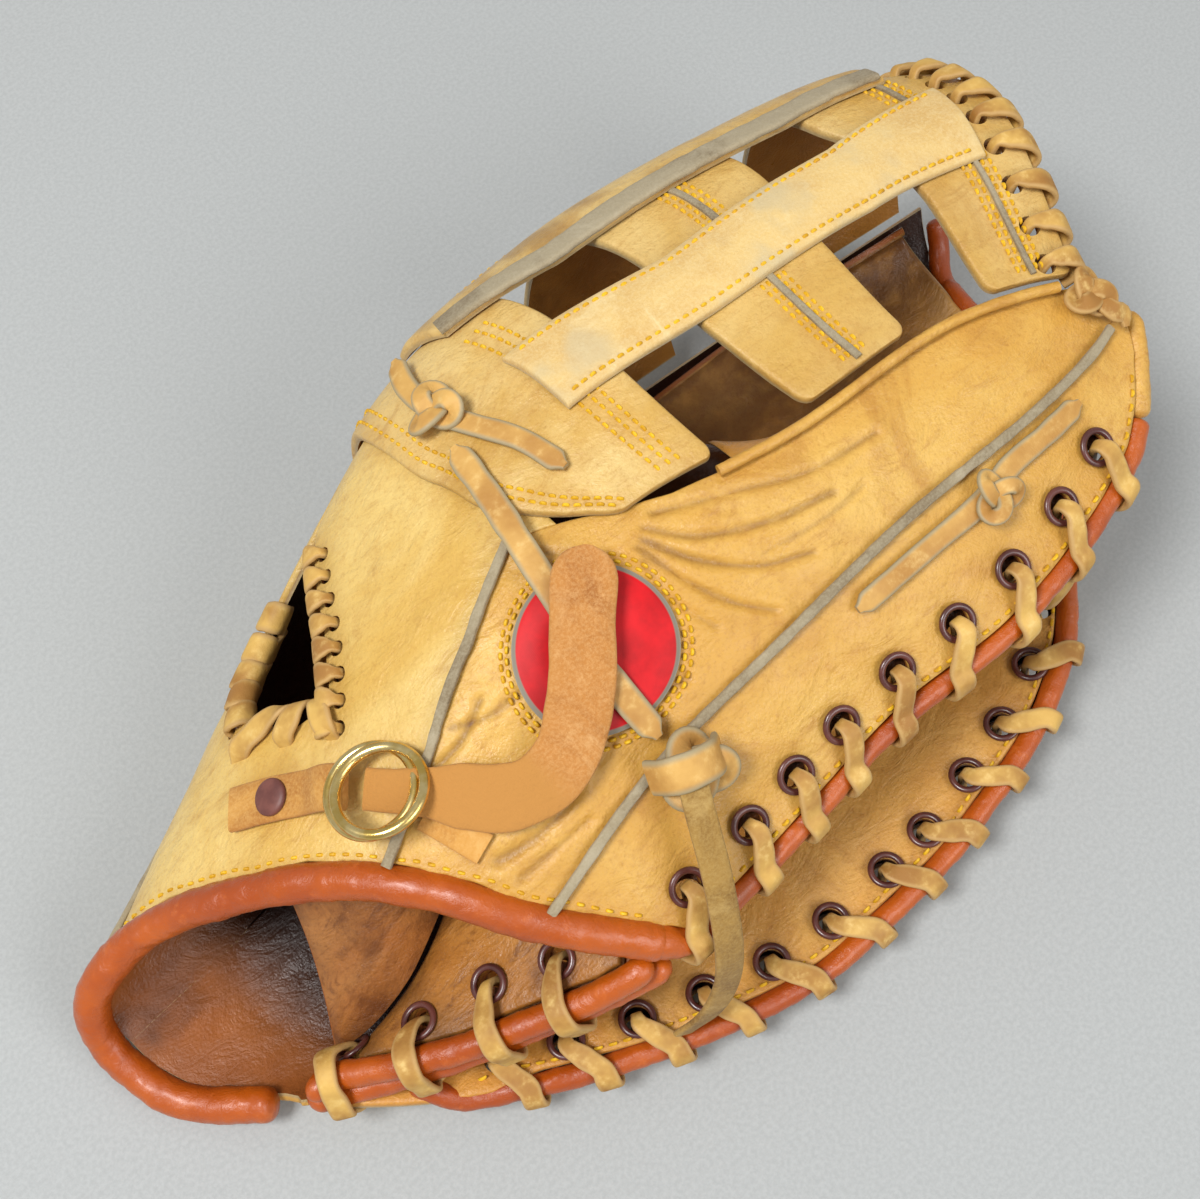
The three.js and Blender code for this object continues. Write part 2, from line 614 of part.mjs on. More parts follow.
// Raw-edged welts that stand on the seams.
const onSeam = (alongs, line, lift) => alongs.map((a) => [a, lookup(line, a), lift]);
const seamLine = (value) => [[0, value], [1, value]];
add("welt_inner", "welt", laid(outer, onSeam(range(0.035, 0.305, 8), INNER_SEAM, LAYER_GAP),
  WELT_WIDTH, WELT_HEIGHT));
add("welt_outer", "welt", laid(outer, onSeam(range(0.045, 0.965, 22), seamLine(BACK_SEAM), LAYER_GAP),
  WELT_WIDTH, WELT_HEIGHT));
add("welt_thumb", "welt", laid(outer, onSeam(range(0.03, 0.2, 6), seamLine(3), LAYER_GAP),
  WELT_WIDTH, WELT_HEIGHT));

// The side wall of the finger stall along the web, seen through the web's windows.
add("finger_gusset", "palmTan", sheet(range(0.53, 0.945, 9), [0, 0.5, 1], (along, t, skin) => {
  const top = outer.at(along, WEB_EDGE + 0.04, -LEATHER - LAYER_GAP);
  const foot = palm.at(along, 4.05, LEATHER + LAYER_GAP);
  const point = top.clone().lerp(foot, t);
  point.y += 2 * Math.sin(Math.PI * t) + (skin ? 1.5 : 0);
  return point;
}));

// Rolled leather bindings on the edges.
add("wrist_binding", "binding", roll(range(0.3, 7.85, 20).map((v) => outer.at(0, v, -1)),
  WRIST_ROLL, 28, 7));
add("heel_binding_palm", "binding", roll(range(0.3, 6.1, 12).map((v) => palm.at(0, v, 0.4)),
  HEEL_ROLL, 13, 6));
add("heel_binding_lining", "binding", roll(range(1, 5.4, 10).map((v) => palm.at(0, v, PAD_TOP)),
  HEEL_ROLL - 0.2, 11, 6));
add("finger_edge_binding", "binding", roll(fingerRollLine, RIM_ROLL, 32, 6));
add("thumb_edge_binding", "binding", roll(thumbRollLine, RIM_ROLL, 36, 6));
add("web_edge_piping", "pale", roll(range(0.5, 0.95, 14).map((a) => outer.at(a, 6.01, 2)), PIPING, 12, 5));

// The felt-backed heel pad and the lining wall between the thumb and the fingers.
const PAD_EDGE = [[0, 1.15], [0.06, 1.2], [0.12, 1.6], [0.2, 2.1]];
add("heel_pad", "pad", drilled(sheet([0, 0.08, 0.11, 0.15, 0.2], range(0, 1, 9), (s, t, skin) => {
  const around = lookup(PAD_EDGE, s) * (1 - t) + 5.5 * t;
  const along = Math.max(s, heelStart(palm, around, HEEL_ROLL + 3));
  return palm.at(along, around, skin ? PAD_TOP : PAD_LOW);
}), heelDrills));
add("stall_lining", "pad", sheet([0.07, 0.11, 0.16, 0.21, 0.26], range(0, 1, 4), (a, t, skin) => {
  const foot = palm.at(a, 3.2, PAD_TOP + 2.1);
  const top = outer.at(a, 5.2, -LEATHER - 1.5);
  const point = foot.clone().lerp(top, t);
  point.x += 3 * Math.sin(Math.PI * t) * (a < 0.1 ? -1 : 0) + (skin ? 1 : -1) * 0.5;
  point.y += (skin ? -1 : 1) * 0.9;
  return point;
}));

// A lace that whips a rim: up through each hole, over the roll and under it to the next hole.
function rimLace(side, holes, topIsOuter) {
  const stations = [];
  holes.forEach((hole, k) => {
    const next = holes[k + 1] ?? { along: hole.along + 0.07 };
    const sign = topIsOuter ? 1 : -1;
    const top = topIsOuter ? hole.onOuter : hole.onPalm;
    const foot = topIsOuter ? hole.onPalm : hole.onOuter;
    const topUp = (topIsOuter ? hole.outerNormal.clone() : hole.palmNormal.clone()).multiplyScalar(sign);
    const across = hole.tangent;
    const lean = hole.along + 0.2 * (next.along - hole.along);
    const centre = rimCentre(side, lean);
    const rimUp = hole.up.clone().multiplyScalar(sign);
    const out = hole.inward.clone().negate();
    const skin = EYELET_HEIGHT + 0.6 + 0.45 + LACE_THICK / 2;
    const under = 1.4 + LACE_THICK / 2;
    const push = (p, half, width = across) => stations.push({ p, across: width, half });
    push(foot.clone().addScaledVector(rimUp, -under), LACE_IN_HOLE / 2);
    push(top.clone().addScaledVector(topUp, skin), LACE_IN_HOLE / 2);
    const flat = out.clone().addScaledVector(topUp, -out.dot(topUp)).normalize();
    push(top.clone().addScaledVector(topUp, skin).addScaledVector(flat, RIM_INSET * 0.5)
      .addScaledVector(across, 0.5), LACE_WIDTH / 2);
    const bend = rimTangent(side, lean);
    const reach = RIM_ROLL + 0.95 + LACE_THICK / 2;
    for (const [angle, extra] of [[75, 0], [10, 0], [-55, 0.2], [-110, 1]]) {
      const turn = angle * Math.PI / 180;
      push(centre.clone().addScaledVector(rimUp, (reach + extra) * Math.sin(turn))
        .addScaledVector(out, (reach + extra) * Math.cos(turn)), LACE_WIDTH / 2, bend);
    }
    if (k < holes.length - 1) {
      const way = hole.along + 0.62 * (next.along - hole.along);
      const surface = topIsOuter ? palm : outer;
      const rim = topIsOuter ? side.palmRim : side.outerRim;
      const target = rimCentre(side, way).addScaledVector(out, -6).addScaledVector(rimUp, -5);
      const spot = nearest(surface, target, way, rim + side.inward * 0.3);
      push(surface.at(...spot, topIsOuter ? -under : under + 0.6), LACE_WIDTH / 2, bend);
    }
  });
  stations.forEach(({ p }) => { p.z = Math.max(p.z, 0.9); });
  return ribbon(stations, LACE_THICK);
}

add("finger_edge_lace", "lace", rimLace(FINGER, fingerHoles, true));
add("thumb_edge_lace", "lace", rimLace(THUMB, thumbHoles, false));

// A lace that whips the edge of a single sheet: edgeWay is the way off it, edgeOf(a, v) its edge there.
function edgeLace(surface, spots, edgeWay, edgeOf, low, high, width, inHole) {
  const stations = [];
  spots.forEach(([a, v], k) => {
    const [an, vn] = spots[k + 1] ?? [2 * a - spots[k - 1][0], 2 * v - spots[k - 1][1]];
    const normal = surface.normal(a, v);
    const across = new THREE.Vector3().subVectors(surface.point(an, vn), surface.point(a, v)).normalize();
    const { lengthwise, across: sideways } = surface.steps(a, v);
    const out = lengthwise.multiplyScalar(edgeWay[0]).addScaledVector(sideways, edgeWay[1]);
    out.addScaledVector(across, -out.dot(across)).addScaledVector(normal, -out.dot(normal)).normalize();
    const spot = surface.point(a, v);
    const half = surface.point(an, vn).distanceTo(spot) * 0.12;
    const reach = surface.point(...edgeOf(a, v)).sub(spot).dot(out) + 2.2;
    const push = (way, lift, lean, w) => stations.push({
      p: spot.clone().addScaledVector(normal, lift).addScaledVector(out, way).addScaledVector(across, lean),
      across, half: w / 2,
    });
    push(0, low, 0, inHole);
    push(0, high, 0, inHole);
    push(reach * 0.6, high, half, width);
    push(reach, (low + high) / 2 + 1.2, half * 1.5, width);
    push(reach, (low + high) / 2 - 1.2, half * 2, width);
    push(reach * 0.6, low, half * 2.5, width);
  });
  return ribbon(stations, SLIT_LACE_THICK);
}

const slitLift = 0.9 + 0.7;
add("slit_lace_right", "lace", edgeLace(outer, rightSpots, [0, -1],
  (a) => [a, lookup(SLIT_RIGHT, a)], -LEATHER - slitLift, slitLift, SLIT_LACE, 2.4));
add("slit_lace_left", "lace", edgeLace(outer, leftSpots, [0, 1],
  (a) => [a, lookup(SLIT_LEFT, a)], -LEATHER - slitLift, slitLift, SLIT_LACE, 2.4));

// The heel lace goes over both heel rolls.
const heelStations = [];
heelSpots.forEach(([a, v]) => {
  const across = palm.steps(0, v).across.normalize();
  const normal = palm.normal(0, v);
  const out = new THREE.Vector3().crossVectors(normal, across).normalize();
  if (out.dot(palm.steps(0, v).lengthwise) > 0) out.negate();
  const edge = palm.at(0, v, 0.4);
  const push = (p, half) => heelStations.push({ p, across, half });
  const byEdge = (way, lift) => edge.clone().addScaledVector(out, way).addScaledVector(normal, lift);
  push(palm.at(a, v, -2.3), LACE_IN_HOLE / 2);
  push(palm.at(a, v, PAD_TOP + 1.2), LACE_IN_HOLE / 2);
  push(byEdge(-3, PAD_TOP + HEEL_ROLL + 1.2), LACE_WIDTH / 2);
  push(byEdge(1, PAD_TOP + HEEL_ROLL + 1.5), LACE_WIDTH / 2);
  push(byEdge(HEEL_ROLL + 1.5, PAD_TOP + 1.8), LACE_WIDTH / 2);
  push(byEdge(HEEL_ROLL + 2.1, PAD_TOP / 2), LACE_WIDTH / 2);
  push(byEdge(HEEL_ROLL + 1.8, 0.3 - HEEL_ROLL), LACE_WIDTH / 2);
  push(byEdge(0.5, -HEEL_ROLL * 2), LACE_WIDTH / 2);
});
add("heel_lace", "lace", ribbon(heelStations, LACE_THICK));

// The web: a base piece, two cross bars and two straps over them.
const webArounds = [2.66, 2.95, 3.25, 3.55, 3.8, 4, 4.2, 4.4, 4.65, 4.9, 5.15, 5.4, 5.65, 5.93];
const WEB_LOW = LAYER_GAP;
const WEB_HIGH = LAYER_GAP + WEB_LEATHER;
add("web_base", "tan", crossPiece(outer, webArounds,
  [[2.66, 0.44], [3, 0.42], [4, 0.375], [4.84, 0.315], [5.35, 0.307], [5.67, 0.336], [5.84, 0.371],
    [5.93, 0.4]],
  [[2.66, 0.51], [3, 0.5], [4, 0.49], [4.4, 0.505], [5.01, 0.49], [5.5, 0.499], [5.93, 0.512]],
  4, WEB_LOW, WEB_HIGH));
add("web_bar_middle", "tan", crossPiece(outer, webArounds,
  [[2.66, 0.6], [4.64, 0.592], [5.35, 0.583], [5.7, 0.604], [5.93, 0.622]],
  [[2.66, 0.74], [4.61, 0.744], [5.24, 0.735], [5.61, 0.75], [5.93, 0.768]],
  4, WEB_LOW, WEB_HIGH));
const tipSpots = range(3.4, 5.75, 8).map((v) => [0.955, v]);
add("web_bar_tip", "tan", drilled(crossPiece(outer, webArounds,
  [[2.66, 0.84], [4, 0.82], [4.72, 0.82], [5.35, 0.861], [5.93, 0.873]],
  [[2.66, 0.984], [5.93, 0.984]],
  4, WEB_LOW, WEB_HIGH), tipSpots.map((spot) => throughSheet(outer, spot, -2, 6, 2.8))));
const STRAP_LOW = WEB_HIGH + LAYER_GAP;
const STRAP_HIGH = STRAP_LOW + STRAP_THICK;
add("web_strap_near", "pale", panel(outer, range(0.43, 0.93, 12),
  [[0.43, 4.95], [0.6, 5.05], [0.8, 4.95], [0.95, 4.68]],
  [[0.43, 5.41], [0.6, 5.4], [0.8, 5.37], [0.95, 5.27]], 3, STRAP_LOW, STRAP_HIGH));
add("web_strap_far", "pale", panel(outer, range(0.45, 0.91, 12),
  [[0.45, 3.95], [0.93, 3.95]], [[0.45, 4.42], [0.55, 4.6], [0.8, 4.58], [0.93, 4.45]],
  3, STRAP_LOW, STRAP_HIGH));
add("web_tip_lace", "lace", edgeLace(outer, tipSpots, [1, 0], (a, v) => [0.984, v], WEB_LOW - 3,
  WEB_HIGH + 3, LACE_WIDTH, 2.8));

// A knot of lace on a surface, bigger than real ones are tight.
function knot(surface, spot, size, thick) {
  const geometry = new THREE.TorusKnotGeometry(size, thick, 20, 4);
  const normal = surface.normal(spot[0], spot[1]);
  geometry.applyQuaternion(new THREE.Quaternion().setFromUnitVectors(new THREE.Vector3(0, 0, 1), normal));
  geometry.translate(...surface.at(spot[0], spot[1], spot[2]).toArray());
  return geometry;
}

function joined(...pieces) {
  return fromSolid(pieces.map(toSolid).reduce((all, piece) => all.add(piece)));
}

// Tied laces on the back of the hand.
add("crotch_lace", "lace", joined(
  laid(outer, [[0.388, 5.61, 4], [0.378, 5.35, 4], [0.366, 5.07, 4], [0.368, 4.8, 4.3], [0.39, 4.5, 5],
    [0.42, 4.25, 6]], LACE_WIDTH, 1.4, 2),
  knot(outer, [0.368, 4.82, 7.2], 3.6, 1.3)));
add("tie_lace", "lace", laid(outer, [[0.342, 5.05, 4], [0.318, 5.45, 4], [0.291, 5.9, 4], [0.27, 6.2, 3.6],
  [0.248, 6.53, 3.4], [0.23, 6.88, 3.4]], LACE_WIDTH, 1.4, 2));
// The middle line of the tail that hangs from the knot, in millimetres.
const tailPoints = [[-21, -56, 81], [-26, -66, 78], [-31, -78, 68], [-36, -88.5, 52], [-39, -92, 38],
  [-44, -93, 27], [-50, -91.5, 19.5]];
add("tie_tail", "suede", joined(
  ribbon(tailPoints.map(([x, y, z]) => ({
    p: new THREE.Vector3(x, y, z), across: new THREE.Vector3(0.95, -0.3, 0), half: 3.3,
  })), LACE_THICK),
  knot(outer, [0.222, 7.14, 6.5], 5.2, 1.9)));
add("finger_tie", "lace", joined(
  laid(outer, [[0.861, 7.22, 0.8], [0.8, 7.2, 0.8], [0.738, 7.19, 0.8], [0.674, 7.25, 0.8],
    [0.598, 7.24, 0.8], [0.53, 7.22, 0.8], [0.476, 7.2, 0.8]], LACE_WIDTH, 1.4, 1),
  knot(outer, [0.69, 7.27, 4], 3.4, 1.25)));

// The wrist strap with its riveted tab, two rings, keeper and the plain round patch.
const PATCH_SPOT = [0.266, 6.36];
add("round_patch", "patch", (() => {
  const place = offsets(outer, ...PATCH_SPOT);
  const normal = outer.normal(...PATCH_SPOT);
  const side = outer.steps(...PATCH_SPOT).lengthwise.normalize();
  const other = new THREE.Vector3().crossVectors(normal, side);
  const disc = new THREE.CylinderGeometry(PATCH_RADIUS, PATCH_RADIUS, PATCH_THICK, 20);
  const positions = disc.getAttribute("position");
  for (let i = 0; i < positions.count; i += 1) {
    const shift = side.clone().multiplyScalar(positions.getX(i))
      .addScaledVector(other, -positions.getZ(i));
    const point = place(shift, 1.1 + PATCH_THICK / 2 + positions.getY(i));
    positions.setXYZ(i, point.x, point.y, point.z);
  }
  return disc;
})());
add("wrist_strap", "suede", laid(outer, [[0.07, 5.42, 3, STRAP_LOOP], [0.072, 5.62, 3, STRAP_LOOP],
  [0.078, 5.87, 3, STRAP_LOOP * 1.15],
  [0.086, 6.15, 3], [0.1, 6.38, 3.2], [0.128, 6.53, 3.6], [0.165, 6.56, 4.4], [0.2, 6.5, 5.2],
  [0.235, 6.4, 5.8], [0.27, 6.26, 6], [0.305, 6.12, 6.2], [0.34, 5.99, 6.2]],
STRAP_WIDTH, STRAP_THICK, 2));
add("strap_tab", "suede", laid(outer, [[0.066, 4.4, 0.9], [0.067, 4.65, 0.9], [0.068, 4.88, 0.9],
  [0.069, 5.08, 3.8], [0.07, 5.27, 4]], TAB_WIDTH, STRAP_THICK, 2));
add("strap_keeper", "suede", laid(outer, [[0.06, 5.9, 0.8], [0.054, 6.15, 0.8], [0.05, 6.38, 0.8]],
  KEEPER_WIDTH, KEEPER_THICK));

// Places a piece made about its own Y or Z axis on a surface.
function placeOn(mesh, axis, surface, [along, around, lift], normal = surface.normal(along, around)) {
  mesh.quaternion.setFromUnitVectors(axis, normal);
  mesh.position.copy(surface.at(along, around, lift));
}

const Y_AXIS = new THREE.Vector3(0, 1, 0);
const Z_AXIS = new THREE.Vector3(0, 0, 1);
const lathe = (profile, segments) => new THREE.LatheGeometry(
  profile.map(([r, h]) => new THREE.Vector2(r, h)), segments);
placeOn(add("rivet", "eyelet", lathe([[0, 0], [RIVET_RADIUS, 0], [RIVET_RADIUS, 0.6],
  [RIVET_RADIUS * 0.6, 1.2], [0, 1.3]], 14)), Y_AXIS, outer, [0.0675, 4.68, 3.3]);
const ringWay = outer.steps(0.07, 5.5).across.normalize();
const ringNormal = outer.normal(0.07, 5.5).addScaledVector(ringWay, -0.3).normalize();
const ring = () => new THREE.TorusGeometry(RING_RADIUS, RING_WIRE, 6, 16);
placeOn(add("ring_1", "brass", ring()), Z_AXIS, outer, [0.07, 5.5, 4.3], ringNormal);
placeOn(add("ring_2", "brass", ring()), Z_AXIS, outer, [0.071, 5.62, 8.7], ringNormal);

// Brown eyelets of the holes that show.
const eyelet = () => lathe([[EYELET_INNER, 0], [EYELET_OUTER, 0], [EYELET_OUTER - 0.6, EYELET_HEIGHT],
  [EYELET_INNER, EYELET_HEIGHT], [EYELET_INNER, 0]], 8);
fingerHoles.forEach((hole, k) => {
  const mesh = add(`finger_eyelet_${k + 1}`, "eyelet", eyelet());
  mesh.quaternion.setFromUnitVectors(Y_AXIS, hole.outerNormal);
  mesh.position.copy(hole.onOuter).addScaledVector(hole.outerNormal, 0.6);
});
thumbHoles.slice(1, 11).forEach((hole, k) => {
  const mesh = add(`thumb_eyelet_${k + 1}`, "eyelet", eyelet());
  const normal = hole.palmNormal.clone().negate();
  mesh.quaternion.setFromUnitVectors(Y_AXIS, normal);
  mesh.position.copy(hole.onPalm).addScaledVector(normal, 0.6);
});

// The origin is the middle of the foot of the box around everything.
const box = new THREE.Box3().setFromObject(mitt);
mitt.position.set(-(box.min.x + box.max.x) / 2, -(box.min.y + box.max.y) / 2, -box.min.z);

export default mitt;
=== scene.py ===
import math

import bpy
import numpy as np
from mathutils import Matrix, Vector


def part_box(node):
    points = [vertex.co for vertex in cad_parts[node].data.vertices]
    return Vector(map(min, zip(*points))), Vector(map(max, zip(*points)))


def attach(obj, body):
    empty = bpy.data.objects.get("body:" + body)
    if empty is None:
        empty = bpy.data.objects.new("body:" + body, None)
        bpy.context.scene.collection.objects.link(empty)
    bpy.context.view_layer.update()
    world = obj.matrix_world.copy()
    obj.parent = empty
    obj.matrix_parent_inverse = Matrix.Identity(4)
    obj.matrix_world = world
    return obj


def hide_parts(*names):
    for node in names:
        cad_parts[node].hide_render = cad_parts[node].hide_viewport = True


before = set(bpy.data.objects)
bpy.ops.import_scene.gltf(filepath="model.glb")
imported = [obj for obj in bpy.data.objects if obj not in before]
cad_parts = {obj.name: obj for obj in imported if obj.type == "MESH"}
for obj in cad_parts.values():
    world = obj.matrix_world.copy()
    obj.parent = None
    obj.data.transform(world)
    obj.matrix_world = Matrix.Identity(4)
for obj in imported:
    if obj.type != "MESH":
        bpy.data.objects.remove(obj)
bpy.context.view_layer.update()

# Sizes in millimetres, as in the model.
LENGTH = 300
WIDTH = 165
HEIGHT = 96
LEATHER = 2
SEAM_OVERLAP = 0.15
LAYER_GAP = 0.7
RIM_OFFSET = 3.2
RIM_ROLL = 2.8
WRIST_ROLL = 4.2
HEEL_ROLL = 2.7
WELT_WIDTH = 2.3
WELT_HEIGHT = 1.6
LACE_WIDTH = 5.3
LACE_THICK = 1.6
LACE_IN_HOLE = 3
RIM_INSET = 7.8
EYELET_OUTER = 4.6
EYELET_INNER = 3
EYELET_HEIGHT = 1
HOLE_RADIUS = 3.3
STRAP_WIDTH = 14
STRAP_THICK = 2
TAB_WIDTH = 10
RIVET_RADIUS = 4.2
RING_RADIUS = 9.8
RING_WIRE = 1.2
PATCH_RADIUS = 18
PATCH_THICK = 1.2
WEB_LEATHER = 2.4
SLIT_LACE = 5.9
THREAD = 0.38
CORNER = 3.5
PIPING = 1.3
PAD_LOW = LEATHER + 1.5
PAD_TOP = 6.4
TIE_THICK = 1.4
SLIT_HOLE = 1.9
TIP_HOLE = 2.6
PATCH_LIFT = 1.1
SLIT_INSET = 3.6
HEEL_TO_TIP = 280
WEB_HEEL_TO_TIP = 285

# The angle in degrees from which an edge is shaded sharp.
SHARP_ANGLE = 50

# Cross sections of the two leather surfaces, as shares: x of LENGTH, y of WIDTH and z of HEIGHT. Each
# row is one station between the heel (0) and the tips (1), and each column one line along the mitt.
# Columns: thumb rim, thumb sole, ridge sole, ridge low, ridge high, crown, web edge, back seam, finger rim.
OUTER_SECTIONS = dict(
    heel_x=(-0.433, -0.487, -0.507, -0.49, -0.42, -0.323, -0.263, -0.213, -0.143),
    tip_x=(0.467, 0.477, 0.49, 0.503, 0.5, 0.487, 0.417, 0.423, 0.427),
    rows=(
        dict(along=0,
             y=(-0.261, -0.158, -0.042, 0.024, 0.012, -0.109, -0.23, -0.364, -0.491),
             z=(0.125, 0.042, 0.083, 0.229, 0.396, 0.604, 0.688, 0.656, 0.51)),
        dict(along=0.2,
             y=(-0.491, -0.303, 0.012, 0.206, 0.2, 0.061, -0.097, -0.315, -0.479),
             z=(0.125, -0.01, -0.031, 0.167, 0.521, 0.802, 0.896, 0.76, 0.552)),
        dict(along=0.4,
             y=(-0.612, -0.4, 0.085, 0.315, 0.333, 0.188, -0.079, -0.303, -0.461),
             z=(0.125, -0.01, -0.031, 0.229, 0.719, 0.927, 0.958, 0.833, 0.615)),
        dict(along=0.6,
             y=(-0.612, -0.4, 0.109, 0.339, 0.358, 0.188, -0.121, -0.291, -0.473),
             z=(0.146, -0.01, -0.031, 0.271, 0.802, 0.969, 0.979, 0.875, 0.667)),
        dict(along=0.8,
             y=(-0.509, -0.327, 0.109, 0.309, 0.315, 0.152, -0.133, -0.291, -0.436),
             z=(0.198, 0, 0, 0.312, 0.823, 0.969, 0.969, 0.875, 0.708)),
        dict(along=0.92,
             y=(-0.273, -0.218, 0.109, 0.261, 0.267, 0.097, -0.17, -0.279, -0.382),
             z=(0.25, 0.083, 0.104, 0.354, 0.812, 0.958, 0.938, 0.865, 0.75)),
        dict(along=1,
             y=(0.018, 0.061, 0.133, 0.194, 0.188, 0.03, -0.212, -0.255, -0.285),
             z=(0.312, 0.229, 0.25, 0.458, 0.792, 0.938, 0.906, 0.865, 0.823)),
    ),
)
# Columns: thumb rim, thumb seam, thumb palm, pocket low, pocket high, finger palm, finger seam, finger rim.
PALM_SECTIONS = dict(
    heel_x=(-0.433, -0.393, -0.343, -0.293, -0.243, -0.203, -0.167, -0.143),
    tip_x=(0.467, 0.473, 0.477, 0.483, 0.42, 0.423, 0.423, 0.427),
    rows=(
        dict(along=0,
             y=(-0.261, -0.303, -0.352, -0.394, -0.43, -0.461, -0.485, -0.491),
             z=(0.125, 0.156, 0.208, 0.26, 0.323, 0.385, 0.448, 0.51)),
        dict(along=0.1,
             y=(-0.4, -0.321, -0.267, -0.23, -0.242, -0.321, -0.418, -0.491),
             z=(0.127, 0.135, 0.188, 0.26, 0.365, 0.448, 0.5, 0.531)),
        dict(along=0.2,
             y=(-0.491, -0.412, -0.273, -0.121, -0.121, -0.273, -0.4, -0.479),
             z=(0.125, 0.152, 0.177, 0.26, 0.479, 0.583, 0.573, 0.552)),
        dict(along=0.32,
             y=(-0.57, -0.485, -0.273, 0.048, 0.048, -0.23, -0.376, -0.467),
             z=(0.123, 0.15, 0.177, 0.25, 0.562, 0.667, 0.625, 0.594)),
        dict(along=0.42,
             y=(-0.618, -0.509, -0.255, 0.194, 0.158, -0.206, -0.364, -0.461),
             z=(0.125, 0.156, 0.177, 0.229, 0.646, 0.719, 0.667, 0.615)),
        dict(along=0.5,
             y=(-0.618, -0.515, -0.255, 0.212, 0.024, -0.218, -0.364, -0.467),
             z=(0.13, 0.156, 0.167, 0.219, 0.75, 0.75, 0.688, 0.635)),
        dict(along=0.6,
             y=(-0.612, -0.515, -0.255, 0.218, -0.103, -0.23, -0.364, -0.473),
             z=(0.146, 0.167, 0.156, 0.208, 0.792, 0.771, 0.708, 0.667)),
        dict(along=0.8,
             y=(-0.509, -0.424, -0.182, 0.206, -0.115, -0.23, -0.345, -0.436),
             z=(0.198, 0.219, 0.177, 0.24, 0.802, 0.781, 0.74, 0.708)),
        dict(along=0.92,
             y=(-0.273, -0.218, -0.048, 0.176, -0.152, -0.23, -0.315, -0.382),
             z=(0.25, 0.281, 0.24, 0.292, 0.802, 0.792, 0.771, 0.75)),
        dict(along=1,
             y=(0.018, 0.055, 0.097, 0.127, -0.206, -0.236, -0.261, -0.285),
             z=(0.312, 0.344, 0.365, 0.438, 0.844, 0.823, 0.802, 0.823)),
    ),
)

# Lines on the outer surface, as (along, around) pairs.
INNER_SEAM = ((0, 5.7), (0.08, 5.78), (0.11, 5.81), (0.2, 5.79), (0.3, 5.62), (0.35, 5.76), (0.4, 5.9),
              (0.45, 5.98), (0.5, 6), (1, 6))
SLIT_RIGHT = ((0, 4.66), (0.08, 4.68), (0.11, 4.86), (0.15, 4.74), (0.2, 4.53), (0.25, 4.27), (0.3, 3.99),
              (0.4, 3.97))
SLIT_LEFT = ((0, 4.64), (0.08, 4.62), (0.11, 4.4), (0.15, 4.02), (0.2, 3.81), (0.25, 3.79), (0.3, 3.95),
             (0.4, 3.95))
RIGHT_TRIM = ((0, 4.58), (0.118, 4.58), (0.135, 4.78), *SLIT_RIGHT[3:])
LEFT_TRIM = ((0, 4.7), (0.118, 4.7), (0.135, 4.24), *SLIT_LEFT[3:])
SOLE_SEAM = ((0, 1.99), (0.4, 1.99), (0.45, 2.55), (0.5, 2.6), (1, 2.6))
BACK_SEAM = ((0, 7), (1, 7))
THUMB_SEAM = ((0, 1.985), (1, 1.985))
WEB_EDGE = 6


def unit(vectors):
    return vectors / np.maximum(np.linalg.norm(vectors, axis=-1, keepdims=True), 1e-9)


def dot(a, b):
    return np.sum(a * b, axis=-1, keepdims=True)


def lookup(pairs, key):
    """A value between (key, value) pairs."""
    keys, values = zip(*pairs)
    return np.interp(key, keys, values)


